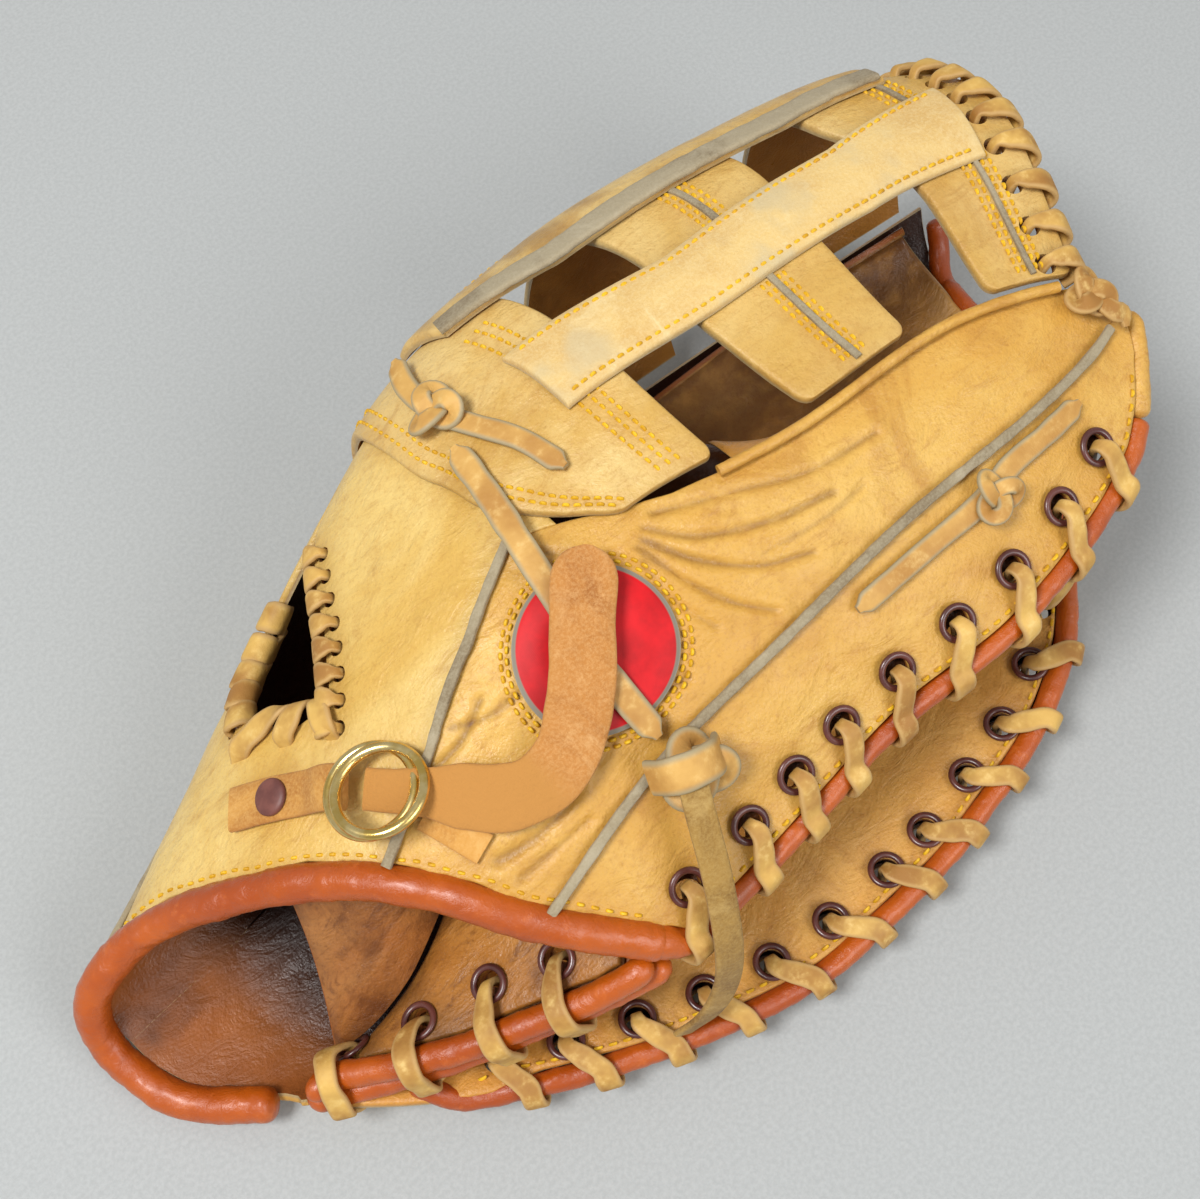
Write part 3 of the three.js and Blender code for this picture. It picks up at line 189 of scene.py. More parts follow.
class Surface:
    """A leather surface through the sections. around counts the columns."""

    def __init__(self, table, rim_sign):
        self.alongs = np.array([row["along"] for row in table["rows"]], float)
        self.heel_x = LENGTH * np.array(table["heel_x"])
        self.tip_x = LENGTH * np.array(table["tip_x"])
        y = WIDTH * np.array([row["y"] for row in table["rows"]])
        z = HEIGHT * np.array([row["z"] for row in table["rows"]])
        z[:, 0] -= rim_sign * RIM_OFFSET
        z[:, -1] += rim_sign * RIM_OFFSET
        self.yz = np.stack([y, z], axis=-1)
        last = len(self.alongs) - 1
        before = np.maximum(np.arange(last + 1) - 1, 0)
        after = np.minimum(np.arange(last + 1) + 1, last)
        spans = (self.alongs[after] - self.alongs[before])[:, None, None]
        self.slopes = (self.yz[after] - self.yz[before]) / spans
        self.count = len(self.heel_x)

    def sections(self, along):
        a = np.clip(along, 0, 1)
        i = np.clip(np.searchsorted(self.alongs, a, side="right") - 1, 0, len(self.alongs) - 2)
        span = (self.alongs[i + 1] - self.alongs[i])[:, None, None]
        t = (a - self.alongs[i])[:, None, None] / span
        yz = ((2 * t**3 - 3 * t**2 + 1) * self.yz[i] + (t**3 - 2 * t**2 + t) * self.slopes[i] * span
              + (3 * t**2 - 2 * t**3) * self.yz[i + 1] + (t**3 - t**2) * self.slopes[i + 1] * span)
        x = self.heel_x + (self.tip_x - self.heel_x) * along[:, None]
        return np.concatenate([x[..., None], yz], axis=-1)

    def point(self, along, around):
        along, around = np.broadcast_arrays(np.asarray(along, float), np.asarray(around, float))
        shape = along.shape
        lines = self.sections(along.ravel())
        lines = np.concatenate([2 * lines[:, :1] - lines[:, 1:2], lines,
                                2 * lines[:, -1:] - lines[:, -2:-1]], axis=1)
        s = np.clip(around.ravel(), 0, self.count - 1)
        i = np.minimum(s.astype(int), self.count - 2)
        t = (s - i)[:, None]
        rows = np.arange(len(s))
        a, b, c, d = (lines[rows, i + k] for k in range(4))
        p = 0.5 * (2 * b + (c - a) * t + (2 * a - 5 * b + 4 * c - d) * t**2 + (3 * b - a - 3 * c + d) * t**3)
        p[:, 2] = np.maximum(p[:, 2], 0)
        return p.reshape(shape + (3,))

    def steps(self, along, around):
        """How far a point moves for one unit along and for one unit around."""
        a0, a1 = np.maximum(along - 0.004, 0), np.minimum(along + 0.004, 1)
        v0, v1 = np.maximum(around - 0.04, 0), np.minimum(around + 0.04, self.count - 1)
        lengthwise = (self.point(a1, around) - self.point(a0, around)) / np.asarray(a1 - a0)[..., None]
        across = (self.point(along, v1) - self.point(along, v0)) / np.asarray(v1 - v0)[..., None]
        return lengthwise, across

    def normal(self, along, around):
        lengthwise, across = self.steps(along, around)
        return unit(np.cross(across, lengthwise))

    def at(self, along, around, lift):
        """A point that stands off the surface by lift."""
        return self.point(along, around) + self.normal(along, around) * np.asarray(lift, float)[..., None]


outer = Surface(OUTER_SECTIONS, 1)
palm = Surface(PALM_SECTIONS, -1)

# Edges of the web's two long straps, and the heights of the web's layers over the outer surface.
NEAR_STRAP_ALONG = (0.43, 0.93)
NEAR_STRAP_LOW = ((0.43, 4.95), (0.6, 5.05), (0.8, 4.95), (0.95, 4.68))
NEAR_STRAP_HIGH = ((0.43, 5.41), (0.6, 5.4), (0.8, 5.37), (0.95, 5.27))
FAR_STRAP_ALONG = (0.45, 0.91)
FAR_STRAP_LOW = ((0.45, 3.95), (0.93, 3.95))
FAR_STRAP_HIGH = ((0.45, 4.42), (0.55, 4.6), (0.8, 4.58), (0.93, 4.45))
WEB_LOW = LAYER_GAP
WEB_HIGH = LAYER_GAP + WEB_LEATHER
STRAP_LOW = WEB_HIGH + LAYER_GAP
STRAP_HIGH = STRAP_LOW + STRAP_THICK


def model_shift():
    """Where the model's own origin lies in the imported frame, read from a piece whose corners are known."""
    along = np.linspace(*NEAR_STRAP_ALONG, 13)[:, None]
    share = np.linspace(0, 1, 4)[None, :]
    around = lookup(NEAR_STRAP_LOW, along) * (1 - share) + lookup(NEAR_STRAP_HIGH, along) * share
    along = np.broadcast_to(along, around.shape)
    flat = np.ones(around.shape)
    corners = np.concatenate([outer.at(along, around, flat * lift).reshape(-1, 3)
                              for lift in (STRAP_LOW, STRAP_HIGH)])
    low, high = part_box("web_strap_near")
    return (np.array(low) + np.array(high)) / 2 * 1000 - (corners.min(axis=0) + corners.max(axis=0)) / 2


SHIFT = model_shift()


# Smooth noise from a lattice of hashed numbers, the same each run.
def lattice(cells, seed):
    h = (cells[..., 0] * 374761393 + cells[..., 1] * 668265263 + cells[..., 2] * 2147483647 + seed * 974711)
    h = (h ^ (h >> 13)) * 1274126177
    return ((h ^ (h >> 16)) & 0xFFFF) / 32767.5 - 1


def noise(points, size, seed=0):
    p = points / size
    cell = np.floor(p).astype(np.int64)
    t = p - cell
    t = t * t * (3 - 2 * t)
    total = 0
    for corner in range(8):
        bits = np.array([corner & 1, corner >> 1 & 1, corner >> 2 & 1])
        weight = np.prod(np.where(bits == 1, t, 1 - t), axis=-1)
        total = total + weight * lattice(cell + bits, seed)
    return total


def layered(points, size, seed=0):
    """Noise in three sizes together, from about -1 to 1."""
    return (noise(points, size, seed) + 0.55 * noise(points, size / 2.2, seed + 1)
            + 0.3 * noise(points, size / 5, seed + 2)) / 1.3


def smooth(x):
    x = np.clip(x, 0, 1)
    return x * x * (3 - 2 * x)


# Materials
def rgb(red, green, blue):
    values = [c / 255 for c in (red, green, blue)]
    return (*[c / 12.92 if c <= 0.04045 else ((c + 0.055) / 1.055) ** 2.4 for c in values], 1)


class Graph:
    """A material's nodes, with short ways to add the ones used here."""

    def __init__(self, name):
        self.material = bpy.data.materials.new(name)
        self.material.use_nodes = True
        self.nodes = self.material.node_tree.nodes
        self.links = self.material.node_tree.links
        self.shader = self.nodes["Principled BSDF"]
        self.place = self.nodes.new("ShaderNodeTexCoord").outputs["Object"]

    def put(self, socket, value):
        if isinstance(value, bpy.types.NodeSocket):
            self.links.new(value, socket)
        else:
            socket.default_value = value

    def add(self, kind, **values):
        """A node with its inputs set by name. An underscore stands for a space."""
        node = self.nodes.new(f"ShaderNode{kind}")
        for key, value in values.items():
            self.put(node.inputs[key.replace("_", " ")], value)
        return node

    def noise(self, scale, detail=3, roughness=0.5, distortion=0, place=None):
        return self.add("TexNoise", Vector=place or self.place, Scale=scale, Detail=detail,
                        Roughness=roughness, Distortion=distortion).outputs["Fac"]

    def cells(self, scale):
        return self.add("TexVoronoi", Vector=self.place, Scale=scale).outputs["Distance"]

    def stretched(self, x, y, z):
        return self.add("Mapping", Vector=self.place, Scale=(x, y, z)).outputs["Vector"]

    def value(self, name):
        node = self.nodes.new("ShaderNodeAttribute")
        node.attribute_name = name
        return node.outputs["Fac"]

    def times(self, a, b):
        node = self.nodes.new("ShaderNodeMath")
        node.operation = "MULTIPLY"
        self.put(node.inputs[0], a)
        self.put(node.inputs[1], b)
        return node.outputs[0]

    def span(self, value, low, high, to_low=0.0, to_high=1.0):
        node = self.add("MapRange", Value=value, From_Min=low, From_Max=high, To_Min=to_low, To_Max=to_high)
        node.interpolation_type = "SMOOTHSTEP"
        return node.outputs["Result"]

    def mix(self, factor, a, b):
        node = self.nodes.new("ShaderNodeMix")
        node.data_type = "RGBA"
        self.put(node.inputs[0], factor)
        self.put(node.inputs[6], a)
        self.put(node.inputs[7], b)
        return node.outputs[2]

    def bump(self, height, strength, distance, below=None):
        node = self.add("Bump", Strength=strength, Distance=distance, Height=height)
        if below is not None:
            self.links.new(below, node.inputs["Normal"])
        return node.outputs["Normal"]

    def finish(self, color, roughness, normal, metallic=0.0, coat=0.0, sheen=0.0, specular=0.5):
        for key, value in (("Base Color", color), ("Roughness", roughness), ("Normal", normal),
                           ("Metallic", metallic), ("Coat Weight", coat), ("Coat Roughness", 0.25),
                           ("Sheen Weight", sheen), ("Specular IOR Level", specular)):
            self.put(self.shader.inputs[key], value)
        return self.material


# Painted shade for the flesh side deep inside the mitt.
INSIDE_PAINTED_SHADE = rgb(46, 24, 14)
CUT_EDGE = rgb(176, 152, 108)


def grain_leather(name, base, pale, deep, dirt_and_shade, flesh, rough=(0.26, 0.42), blotch=0.5):
    """Smooth tanned leather: mottled and fine grained, darker where the mesh's value says (real dirt, with
    painted shade in creases, puckers and the palm's pocket), with its own colours on the flesh side (skin),
    painted shade deep inside where skin runs above 1, and its own colour on cut edges (rim)."""
    g = Graph(name)
    color = g.mix(g.span(g.noise(16, 6, 0.62, 0.8), 0.36, 0.64), base, pale)
    blot = g.times(g.span(g.noise(30, 9, 0.7, 1.2), 0.47, 0.7), blotch)
    color = g.mix(blot, color, deep)
    streak = g.noise(60, 8, 0.75, 1.6, g.stretched(1, 2.6, 1))
    color = g.mix(g.times(g.span(streak, 0.52, 0.72), blotch), color, deep)
    speck = g.times(g.span(g.noise(900, 4, 0.8), 0.48, 0.72), 0.4)
    color = g.mix(speck, color, deep)
    # Darker where the mesh's value says: real dirt and smudges, with painted shade in creases, puckers and
    # the palm's pocket.
    color = g.mix(g.times(g.value("wear_and_shade"), g.span(g.noise(190, 5), 0.2, 0.6, 0.6, 1)), color, dirt_and_shade)
    inner = g.mix(g.span(g.noise(30, 5, 0.6), 0.36, 0.66), flesh[0], flesh[1])
    inner = g.mix(g.span(g.noise(14, 4, 0.6, 0.5), 0.55, 0.7), inner, flesh[2])
    # Painted shade: the flesh side grows dark deep inside the mitt, where skin runs above 1.
    inner = g.mix(g.span(g.value("skin"), 1.05, 1.9), inner, INSIDE_PAINTED_SHADE)
    color = g.mix(g.span(g.value("skin"), 0.3, 0.7), color, inner)
    color = g.mix(g.span(g.value("rim"), 0.4, 0.9), color, CUT_EDGE)
    normal = g.bump(g.cells(1300), 0.24, 0.0003)
    normal = g.bump(g.noise(520, 6, 0.7), 0.26, 0.0005, normal)
    normal = g.bump(g.noise(80, 8, 0.62, 1.6, g.stretched(1, 1.7, 1)), 0.42, 0.0018, normal)
    roughness = g.span(g.noise(52, 5), 0.3, 0.7, *rough)
    return g.finish(color, roughness, normal, specular=0.45)


def napped_leather(name, base, pale, deep, smooth_face=None, nap=0.5, rough=0.85):
    """Suede and the raw sides of leather: fibrous, blotchy and dull, smooth where skin is set."""
    g = Graph(name)
    color = g.mix(g.span(g.noise(34, 7, 0.7, 0.6), 0.36, 0.6), deep, base)
    color = g.mix(g.span(g.noise(90, 7, 0.75, 0.8), 0.5, 0.75, 0.0, 0.8), color, pale)
    fibres = g.noise(1500, 3, 0.75)
    color = g.mix(g.span(fibres, 0.35, 0.7, 0.0, 0.4), color, pale)
    color = g.mix(g.value("wear_and_shade"), color, smooth_face or deep)
    if smooth_face:
        color = g.mix(g.value("skin"), color, smooth_face)
    normal = g.bump(g.noise(260, 6, 0.72), nap, 0.0008)
    normal = g.bump(fibres, 0.5, 0.0003, normal)
    return g.finish(color, rough, normal, sheen=0.08, specular=0.25)


def lace_leather(name, base, pale, deep, edge):
    """Rawhide lace: a smooth face with fine cross creases and raw pale edges."""
    g = Graph(name)
    color = g.mix(g.span(g.noise(60, 4, 0.6), 0.35, 0.68), deep, base)
    color = g.mix(g.span(g.noise(240, 4, 0.7), 0.5, 0.8, 0, 0.7), color, pale)
    color = g.mix(g.span(g.value("rim"), 0.55, 0.95), color, edge)
    color = g.mix(g.value("wear_and_shade"), color, deep)
    normal = g.bump(g.noise(420, 5, 0.65), 0.4, 0.0005)
    normal = g.bump(g.noise(1400, 3, 0.7), 0.3, 0.0002, normal)
    return g.finish(color, g.span(g.noise(130, 3), 0.3, 0.7, 0.5, 0.72), normal, specular=0.4)


def binding_leather():
    """The glossy orange-brown edge binding, darker where it is rubbed and creased."""
    g = Graph("binding_gloss")
    color = g.mix(g.span(g.noise(30, 5, 0.6), 0.36, 0.64), rgb(162, 68, 8), rgb(184, 86, 14))
    color = g.mix(g.span(g.noise(210, 6, 0.7), 0.55, 0.8, 0, 0.5), color, rgb(222, 122, 52))
    color = g.mix(g.value("wear_and_shade"), color, rgb(110, 44, 14))
    normal = g.bump(g.noise(210, 7, 0.68, 1.0), 0.5, 0.0009)
    normal = g.bump(g.cells(1500), 0.14, 0.0002, normal)
    return g.finish(color, g.span(g.noise(70, 3), 0.3, 0.7, 0.24, 0.38), normal, coat=0.25)


def plain_gloss(name, color, other, roughness, metallic=0.0, coat=0.0):
    """Enamel and brass, a little uneven."""
    g = Graph(name)
    tone = g.mix(g.span(g.noise(200, 4, 0.6), 0.35, 0.68), color, other)
    normal = g.bump(g.noise(600, 4, 0.6), 0.1, 0.0002)
    rough = g.span(g.noise(140, 4, 0.6), 0.3, 0.7, roughness, roughness + 0.16)
    return g.finish(tone, rough, normal, metallic=metallic, coat=coat)


def patch_cloth():
    """The red patch: closely woven coated cloth with a raw gray rim."""
    g = Graph("patch_red")
    color = g.mix(g.span(g.noise(90, 4, 0.6), 0.35, 0.68), rgb(176, 4, 14), rgb(212, 10, 22))
    color = g.mix(g.value("rim"), color, rgb(142, 134, 120))
    weave = g.add("TexWave", Vector=g.place, Scale=900, Distortion=2.0)
    normal = g.bump(weave.outputs["Fac"], 0.12, 0.0002)
    return g.finish(color, 0.5, normal, specular=0.3)


def thread_stuff():
    g = Graph("thread_yellow")
    color = g.mix(g.span(g.noise(500, 3), 0.35, 0.65), rgb(204, 150, 6), rgb(234, 186, 26))
    return g.finish(color, 0.55, g.bump(g.noise(2600, 2), 0.5, 0.0002))


def floor_paper():
    g = Graph("floor_gray")
    color = g.mix(g.span(g.noise(900, 4, 0.6), 0.3, 0.7), rgb(168, 170, 169), rgb(177, 179, 178))
    return g.finish(color, 0.9, g.bump(g.noise(1600, 3), 0.15, 0.0003), specular=0.2)


INSIDE = (rgb(140, 78, 34), rgb(164, 96, 46), rgb(78, 44, 26))
TAN = grain_leather("leather_tan", rgb(206, 155, 68), rgb(218, 174, 88), rgb(168, 110, 42),
                    rgb(104, 64, 28), INSIDE)
TAN_PALE = grain_leather("leather_tan_pale", rgb(212, 170, 84), rgb(226, 194, 118), rgb(180, 130, 58),
                         rgb(116, 76, 36), INSIDE)
WEB_TAN = grain_leather("leather_web", rgb(204, 162, 82), rgb(222, 190, 122), rgb(174, 124, 56),
                        rgb(140, 98, 52), (rgb(176, 122, 54), rgb(150, 100, 42), rgb(120, 76, 32)))
PALM = grain_leather("leather_palm", rgb(210, 148, 66), rgb(220, 166, 84), rgb(160, 102, 40),
                     rgb(84, 46, 22), INSIDE)
PAD = grain_leather("leather_pad", rgb(176, 114, 46), rgb(200, 140, 68), rgb(112, 66, 28),
                    rgb(66, 40, 26), INSIDE, rough=(0.26, 0.44), blotch=0.9)
LINING = grain_leather("leather_lining", rgb(162, 98, 44), rgb(188, 126, 66), rgb(100, 54, 24),
                       rgb(52, 30, 18), INSIDE, rough=(0.24, 0.4), blotch=0.9)
BINDING = binding_leather()
LACE = lace_leather("lace_rawhide", rgb(214, 172, 90), rgb(232, 200, 130), rgb(160, 112, 52),
                    rgb(188, 150, 92))
TIE = lace_leather("lace_tie", rgb(212, 166, 90), rgb(228, 194, 126), rgb(178, 128, 62), rgb(162, 146, 112))
SUEDE = napped_leather("suede_strap", rgb(188, 126, 62), rgb(222, 174, 116), rgb(150, 90, 40),
                       rgb(188, 132, 66), nap=0.8)
TAB_SUEDE = napped_leather("suede_tab", rgb(206, 150, 74), rgb(222, 176, 106), rgb(170, 112, 50), nap=0.4)
TAIL_SUEDE = napped_leather("suede_tail", rgb(160, 124, 62), rgb(186, 154, 94), rgb(120, 86, 40), nap=0.4)
WELT = napped_leather("raw_edge", rgb(160, 146, 118), rgb(180, 168, 142), rgb(128, 112, 86), nap=0.5)
PALE = napped_leather("suede_pale", rgb(220, 186, 118), rgb(232, 208, 154), rgb(206, 166, 98),
                      rgb(194, 178, 142), nap=0.35, rough=0.6)
EYELET = plain_gloss("eyelet_enamel", rgb(72, 34, 30), rgb(98, 52, 44), 0.24, coat=0.3)
RIVET = plain_gloss("rivet_enamel", rgb(96, 52, 46), rgb(120, 70, 60), 0.42)
BRASS = plain_gloss("brass_bright", rgb(214, 180, 96), rgb(236, 212, 150), 0.16, metallic=1.0)
PATCH = patch_cloth()
YELLOW = thread_stuff()


# Meshes
class Bundle:
    """Points and faces of many small shapes that make one mesh, with named values for each point."""

    def __init__(self):
        self.points = []
        self.faces = []
        self.values = {"wear_and_shade": [], "rim": [], "skin": []}
        self.count = 0

    def add(self, points, faces, wear_and_shade=0.0, rim=0.0, skin=0.0):
        points = np.asarray(points, float).reshape(-1, 3)
        faces = [list(face) for face in faces]
        volume = 0.0
        for face in faces:
            corners = points[face]
            volume += np.dot(corners[0], np.cross(corners[1:-1], corners[2:]).sum(axis=0))
        if volume < 0:
            faces = [face[::-1] for face in faces]
        self.faces += [[i + self.count for i in face] for face in faces]
        self.points.append(points)
        self.values["wear_and_shade"].append(np.broadcast_to(wear_and_shade, len(points)))
        self.values["rim"].append(np.broadcast_to(rim, len(points)))
        self.values["skin"].append(np.broadcast_to(skin, len(points)))
        self.count += len(points)

    def piece(self, name, material, slot, nodes=()):
        mesh = bpy.data.meshes.new(name)
        points = (np.concatenate(self.points) + SHIFT) / 1000
        mesh.from_pydata(points.tolist(), [], self.faces)
        for key, lists in self.values.items():
            data = np.concatenate(lists)
            if np.any(data):
                mesh.attributes.new(key, "FLOAT", "POINT").data.foreach_set("value", data.astype(np.float32))
        mesh.materials.append(material)
        mesh.shade_smooth()
        mesh.set_sharp_from_angle(angle=math.radians(SHARP_ANGLE))
        obj = bpy.data.objects.new(name, mesh)
        bpy.context.scene.collection.objects.link(obj)
        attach(obj, "root")
        if nodes:
            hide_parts(*nodes)
        return obj


def loft(rings, closed=False):
    """Faces that join rings of points, with flat ends unless the last ring meets the first."""
    count, sides = rings.shape[:2]
    faces = []
    for i in range(count if closed else count - 1):
        j = (i + 1) % count
        for k in range(sides):
            m = (k + 1) % sides
            faces.append((i * sides + k, i * sides + m, j * sides + m, j * sides + k))
    if not closed:
        faces.append(tuple(range(sides))[::-1])
        faces.append(tuple(range((count - 1) * sides, count * sides)))
    return faces


def curve_through(points, step, extras=None):
    """A centripetal curve through points, sampled about every step, with extras carried along it."""
    points = np.asarray(points, float)
    pad = np.concatenate([[2 * points[0] - points[1]], points, [2 * points[-1] - points[-2]]])
    knots = np.concatenate([[0], np.cumsum(np.linalg.norm(np.diff(pad, axis=0), axis=1) ** 0.5 + 1e-6)])
    out, carried = [], []
    extras = None if extras is None else np.asarray(extras, float)
    for i in range(len(points) - 1):
        p0, p1, p2, p3 = pad[i:i + 4]
        t0, t1, t2, t3 = knots[i:i + 4]
        n = max(int(math.ceil(np.linalg.norm(p2 - p1) / step)), 1)
        shares = np.arange(n + (i == len(points) - 2)) / n
        t = (t1 + shares * (t2 - t1))[:, None]
        a1 = (t1 - t) / (t1 - t0) * p0 + (t - t0) / (t1 - t0) * p1
        a2 = (t2 - t) / (t2 - t1) * p1 + (t - t1) / (t2 - t1) * p2
        a3 = (t3 - t) / (t3 - t2) * p2 + (t - t2) / (t3 - t2) * p3
        b1 = (t2 - t) / (t2 - t0) * a1 + (t - t0) / (t2 - t0) * a2
        b2 = (t3 - t) / (t3 - t1) * a2 + (t - t1) / (t3 - t1) * a3
        out.append((t2 - t) / (t2 - t1) * b1 + (t - t1) / (t2 - t1) * b2)
        if extras is not None:
            eased = smooth(shares)[:, None]
            carried.append(extras[i] * (1 - eased) + extras[i + 1] * eased)
    line = np.concatenate(out)
    return line if extras is None else (line, np.concatenate(carried))


def directions(line):
    return unit(np.gradient(line, axis=0))


def lay(bundle, path, across, half, thick):
    """Adds a flat lace along a path, with its edges marked as rim."""
    rings, rim = strap_rings(path, across, half, thick)
    bundle.add(rings, loft(rings), 0, rim.ravel())


def run_length(path):
    """The length run so far at each point of a path."""
    return np.concatenate([[0], np.cumsum(np.linalg.norm(np.diff(path, axis=0), axis=1))])


def strap_rings(line, across, half, thick, corners=4):
    """Rounded flat sections along a line. half and thick may change along it."""
    forward = directions(line)
    across = unit(across - forward * dot(across, forward))
    up = np.cross(across, forward)
    angles = np.linspace(0, 2 * np.pi, 4 * corners, endpoint=False) + np.pi / (4 * corners)
    wide = np.sign(np.cos(angles)) * np.abs(np.cos(angles)) ** 0.35
    tall = np.sign(np.sin(angles)) * np.abs(np.sin(angles)) ** 0.7
    half = np.broadcast_to(half, len(line))[:, None, None]
    thick = np.broadcast_to(thick, len(line))[:, None, None]
    rings = (line[:, None] + across[:, None] * wide[None, :, None] * half
             + up[:, None] * tall[None, :, None] * thick / 2)
    return rings, np.broadcast_to(np.abs(wide), rings.shape[:2])


def thong(bundle, stations, thick=LACE_THICK, step=0.8, seed=1):
    """A flat lace through stations of (point, across, half width), a little uneven as cut leather is."""
    points = [s[0] for s in stations]
    extras = np.concatenate([[s[1] for s in stations], [[s[2]] for s in stations]], axis=1)
    line, carried = curve_through(points, step, extras)
    across, half = carried[:, :3], carried[:, 3]
    half = half * (1 + 0.07 * noise(line, 3.5, seed) + 0.05 * noise(line, 9, seed + 5))
    line = line + 0.12 * np.stack([noise(line, 4, seed + k) for k in (11, 12, 13)], axis=-1)
    depth = thick * (1 + 0.1 * noise(line, 2.5, seed + 3))
    lay(bundle, line, across, half, depth)


def rope_rings(line, radius, sides=20, pucker=0.05, size=5, seed=2):
    """Round sections along a line, turned as little as can be, with puckers and fine cross wrinkles."""
    forward = directions(line)
    side = np.zeros_like(line)
    last = np.array([0.0, 0, 1])
    for i, f in enumerate(forward):
        last = last - f * np.dot(last, f)
        last = last / np.linalg.norm(last)
        side[i] = last
    other = np.cross(forward, side)
    angles = np.linspace(0, 2 * np.pi, sides, endpoint=False)
    circle = side[:, None] * np.cos(angles)[None, :, None] + other[:, None] * np.sin(angles)[None, :, None]
    radius = np.broadcast_to(radius, len(line))[:, None]
    rough = line[:, None] + circle * radius[..., None]
    length = run_length(line)[:, None]
    turn = np.broadcast_to(angles, (len(line), sides))
    wrinkle = np.stack([length + 0.8 * noise(rough, 4, seed + 7), turn * 2.2, turn * 0], axis=-1)
    swell = 1 + pucker * layered(rough, size, seed) + 0.022 * noise(wrinkle, 1.1, seed + 3)
    return line[:, None] + circle * (radius * swell)[..., None]


def rope(bundle, points, radius, tuck=0.0, **more):
    """A rolled edge along points. radius may be (share, radius) pairs, and tuck rounds its ends off."""
    line = curve_through(points, 0.7)
    length = run_length(line)
    size = lookup(radius, length / length[-1]) if isinstance(radius, tuple) else np.full(len(line), radius)
    if tuck:
        near = np.clip(np.minimum(length, length[-1] - length) / tuck, 0, 1)
        size = size * np.sqrt(np.maximum(1 - (1 - near) ** 2, 0.03))
    rings = rope_rings(line, size, **more)
    bundle.add(rings, loft(rings))


def nearby(line, points):
    """How far each point is from a line of points."""
    best = np.full(len(points), 1e9)
    for a, b in zip(line[:-1], line[1:]):
        way = b - a
        t = np.clip(((points - a) @ way) / max(way @ way, 1e-9), 0, 1)
        best = np.minimum(best, np.linalg.norm(points - a - t[:, None] * way, axis=1))
    return best


def sheet(bundle, top, bottom, keep=None, holes=(), wear_and_shade=None, rounding=0.8, raw=1.0, depth=0.0):
    """A leather sheet between two grids of points, with rounded rims and round holes cut through it."""
    ns, nt = top.shape[:2]
    along_gap = np.linalg.norm(np.diff(top, axis=0), axis=2)
    across_gap = np.linalg.norm(np.diff(top, axis=1), axis=2)
    from_start = np.concatenate([np.zeros((1, nt)), np.cumsum(along_gap, axis=0)])
    from_side = np.concatenate([np.zeros((ns, 1)), np.cumsum(across_gap, axis=1)], axis=1)
    edge = np.minimum(np.minimum(from_start, from_start[-1:] - from_start),
                      np.minimum(from_side, from_side[:, -1:] - from_side))
    drop = 0.5 * (1 - np.sqrt(1 - (1 - np.clip(edge / rounding, 0, 1)) ** 2))[..., None]
    top = top * (1 - drop) + bottom * drop
    kept = np.ones((ns - 1, nt - 1), bool) if keep is None else keep.copy()
    centres = (top[:-1, :-1] + top[1:, :-1] + top[:-1, 1:] + top[1:, 1:]) / 4
    top, bottom = top.copy(), bottom.copy()
    for point, normal, radius in holes:
        def outwards(points):
            gap = points - point
            height = gap @ normal
            return gap - height[..., None] * normal, height
        flat, height = outwards(centres)
        inside = (np.linalg.norm(flat, axis=-1) < radius) & (np.abs(height) < 7)
        kept &= ~inside
        touched = np.zeros((ns, nt), bool)
        rows, columns = np.nonzero(inside)
        for di in (0, 1):
            for dj in (0, 1):
                touched[rows + di, columns + dj] = True
        for grid in (top, bottom):
            flat, height = outwards(grid)
            length = np.linalg.norm(flat, axis=-1)
            fix = touched & (length > radius * 0.35)
            scale = np.where(fix, radius / np.maximum(length, 1e-6) - 1, 0)
            grid += flat * scale[..., None]
    ids = np.arange(ns * nt).reshape(ns, nt)
    low = ids + ns * nt
    upper = np.stack([ids[:-1, :-1], ids[:-1, 1:], ids[1:, 1:], ids[1:, :-1]], axis=-1)[kept]
    faces = upper.tolist() + (upper[:, [0, 3, 2, 1]] + ns * nt).tolist()
    padded = np.pad(kept, 1)
    here = padded[1:-1, 1:-1]
    for gone, first, second in (
            (~padded[:-2, 1:-1], (slice(0, -1), slice(0, -1)), (slice(0, -1), slice(1, None))),
            (~padded[2:, 1:-1], (slice(1, None), slice(1, None)), (slice(1, None), slice(0, -1))),
            (~padded[1:-1, :-2], (slice(1, None), slice(0, -1)), (slice(0, -1), slice(0, -1))),
            (~padded[1:-1, 2:], (slice(0, -1), slice(1, None)), (slice(1, None), slice(1, None)))):
        pick = here & gone
        walls = np.stack([ids[second][pick], ids[first][pick], low[first][pick], low[second][pick]], axis=-1)
        faces += walls.tolist()
    used = np.zeros(2 * ns * nt, bool)
    for face in faces:
        used[face] = True
    renumber = np.cumsum(used) - 1
    points = np.concatenate([top.reshape(-1, 3), bottom.reshape(-1, 3)])
    values = np.zeros((ns, nt)) if wear_and_shade is None else wear_and_shade
    values = np.clip(values + 0.16 * np.exp(-edge / 2.2), 0, 1)
    values = np.concatenate([values.ravel(), values.ravel() * 0.5])
    border = raw * (edge < 0.01)
    border = np.concatenate([0.5 * border.ravel(), border.ravel()])
    # The flesh side carries skin 1 and more; depth above 1 paints shade on it, darker deeper inside the
    # mitt.
    flesh = np.concatenate([np.zeros(ns * nt), 1 + np.broadcast_to(depth, (ns, nt)).ravel()])
    bundle.add(points[used], renumber[np.array(faces)], values[used], border[used], flesh[used])


def spread(count, length, rounding=0.8):
    """Evenly spaced shares with extra ones beside both ends, where the edge is rounded."""
    near = np.array([0, 0.2, 0.55, 1]) * rounding / length
    return np.concatenate([near, np.linspace(near[-1], 1 - near[-1], count)[1:-1], (1 - near)[::-1]])


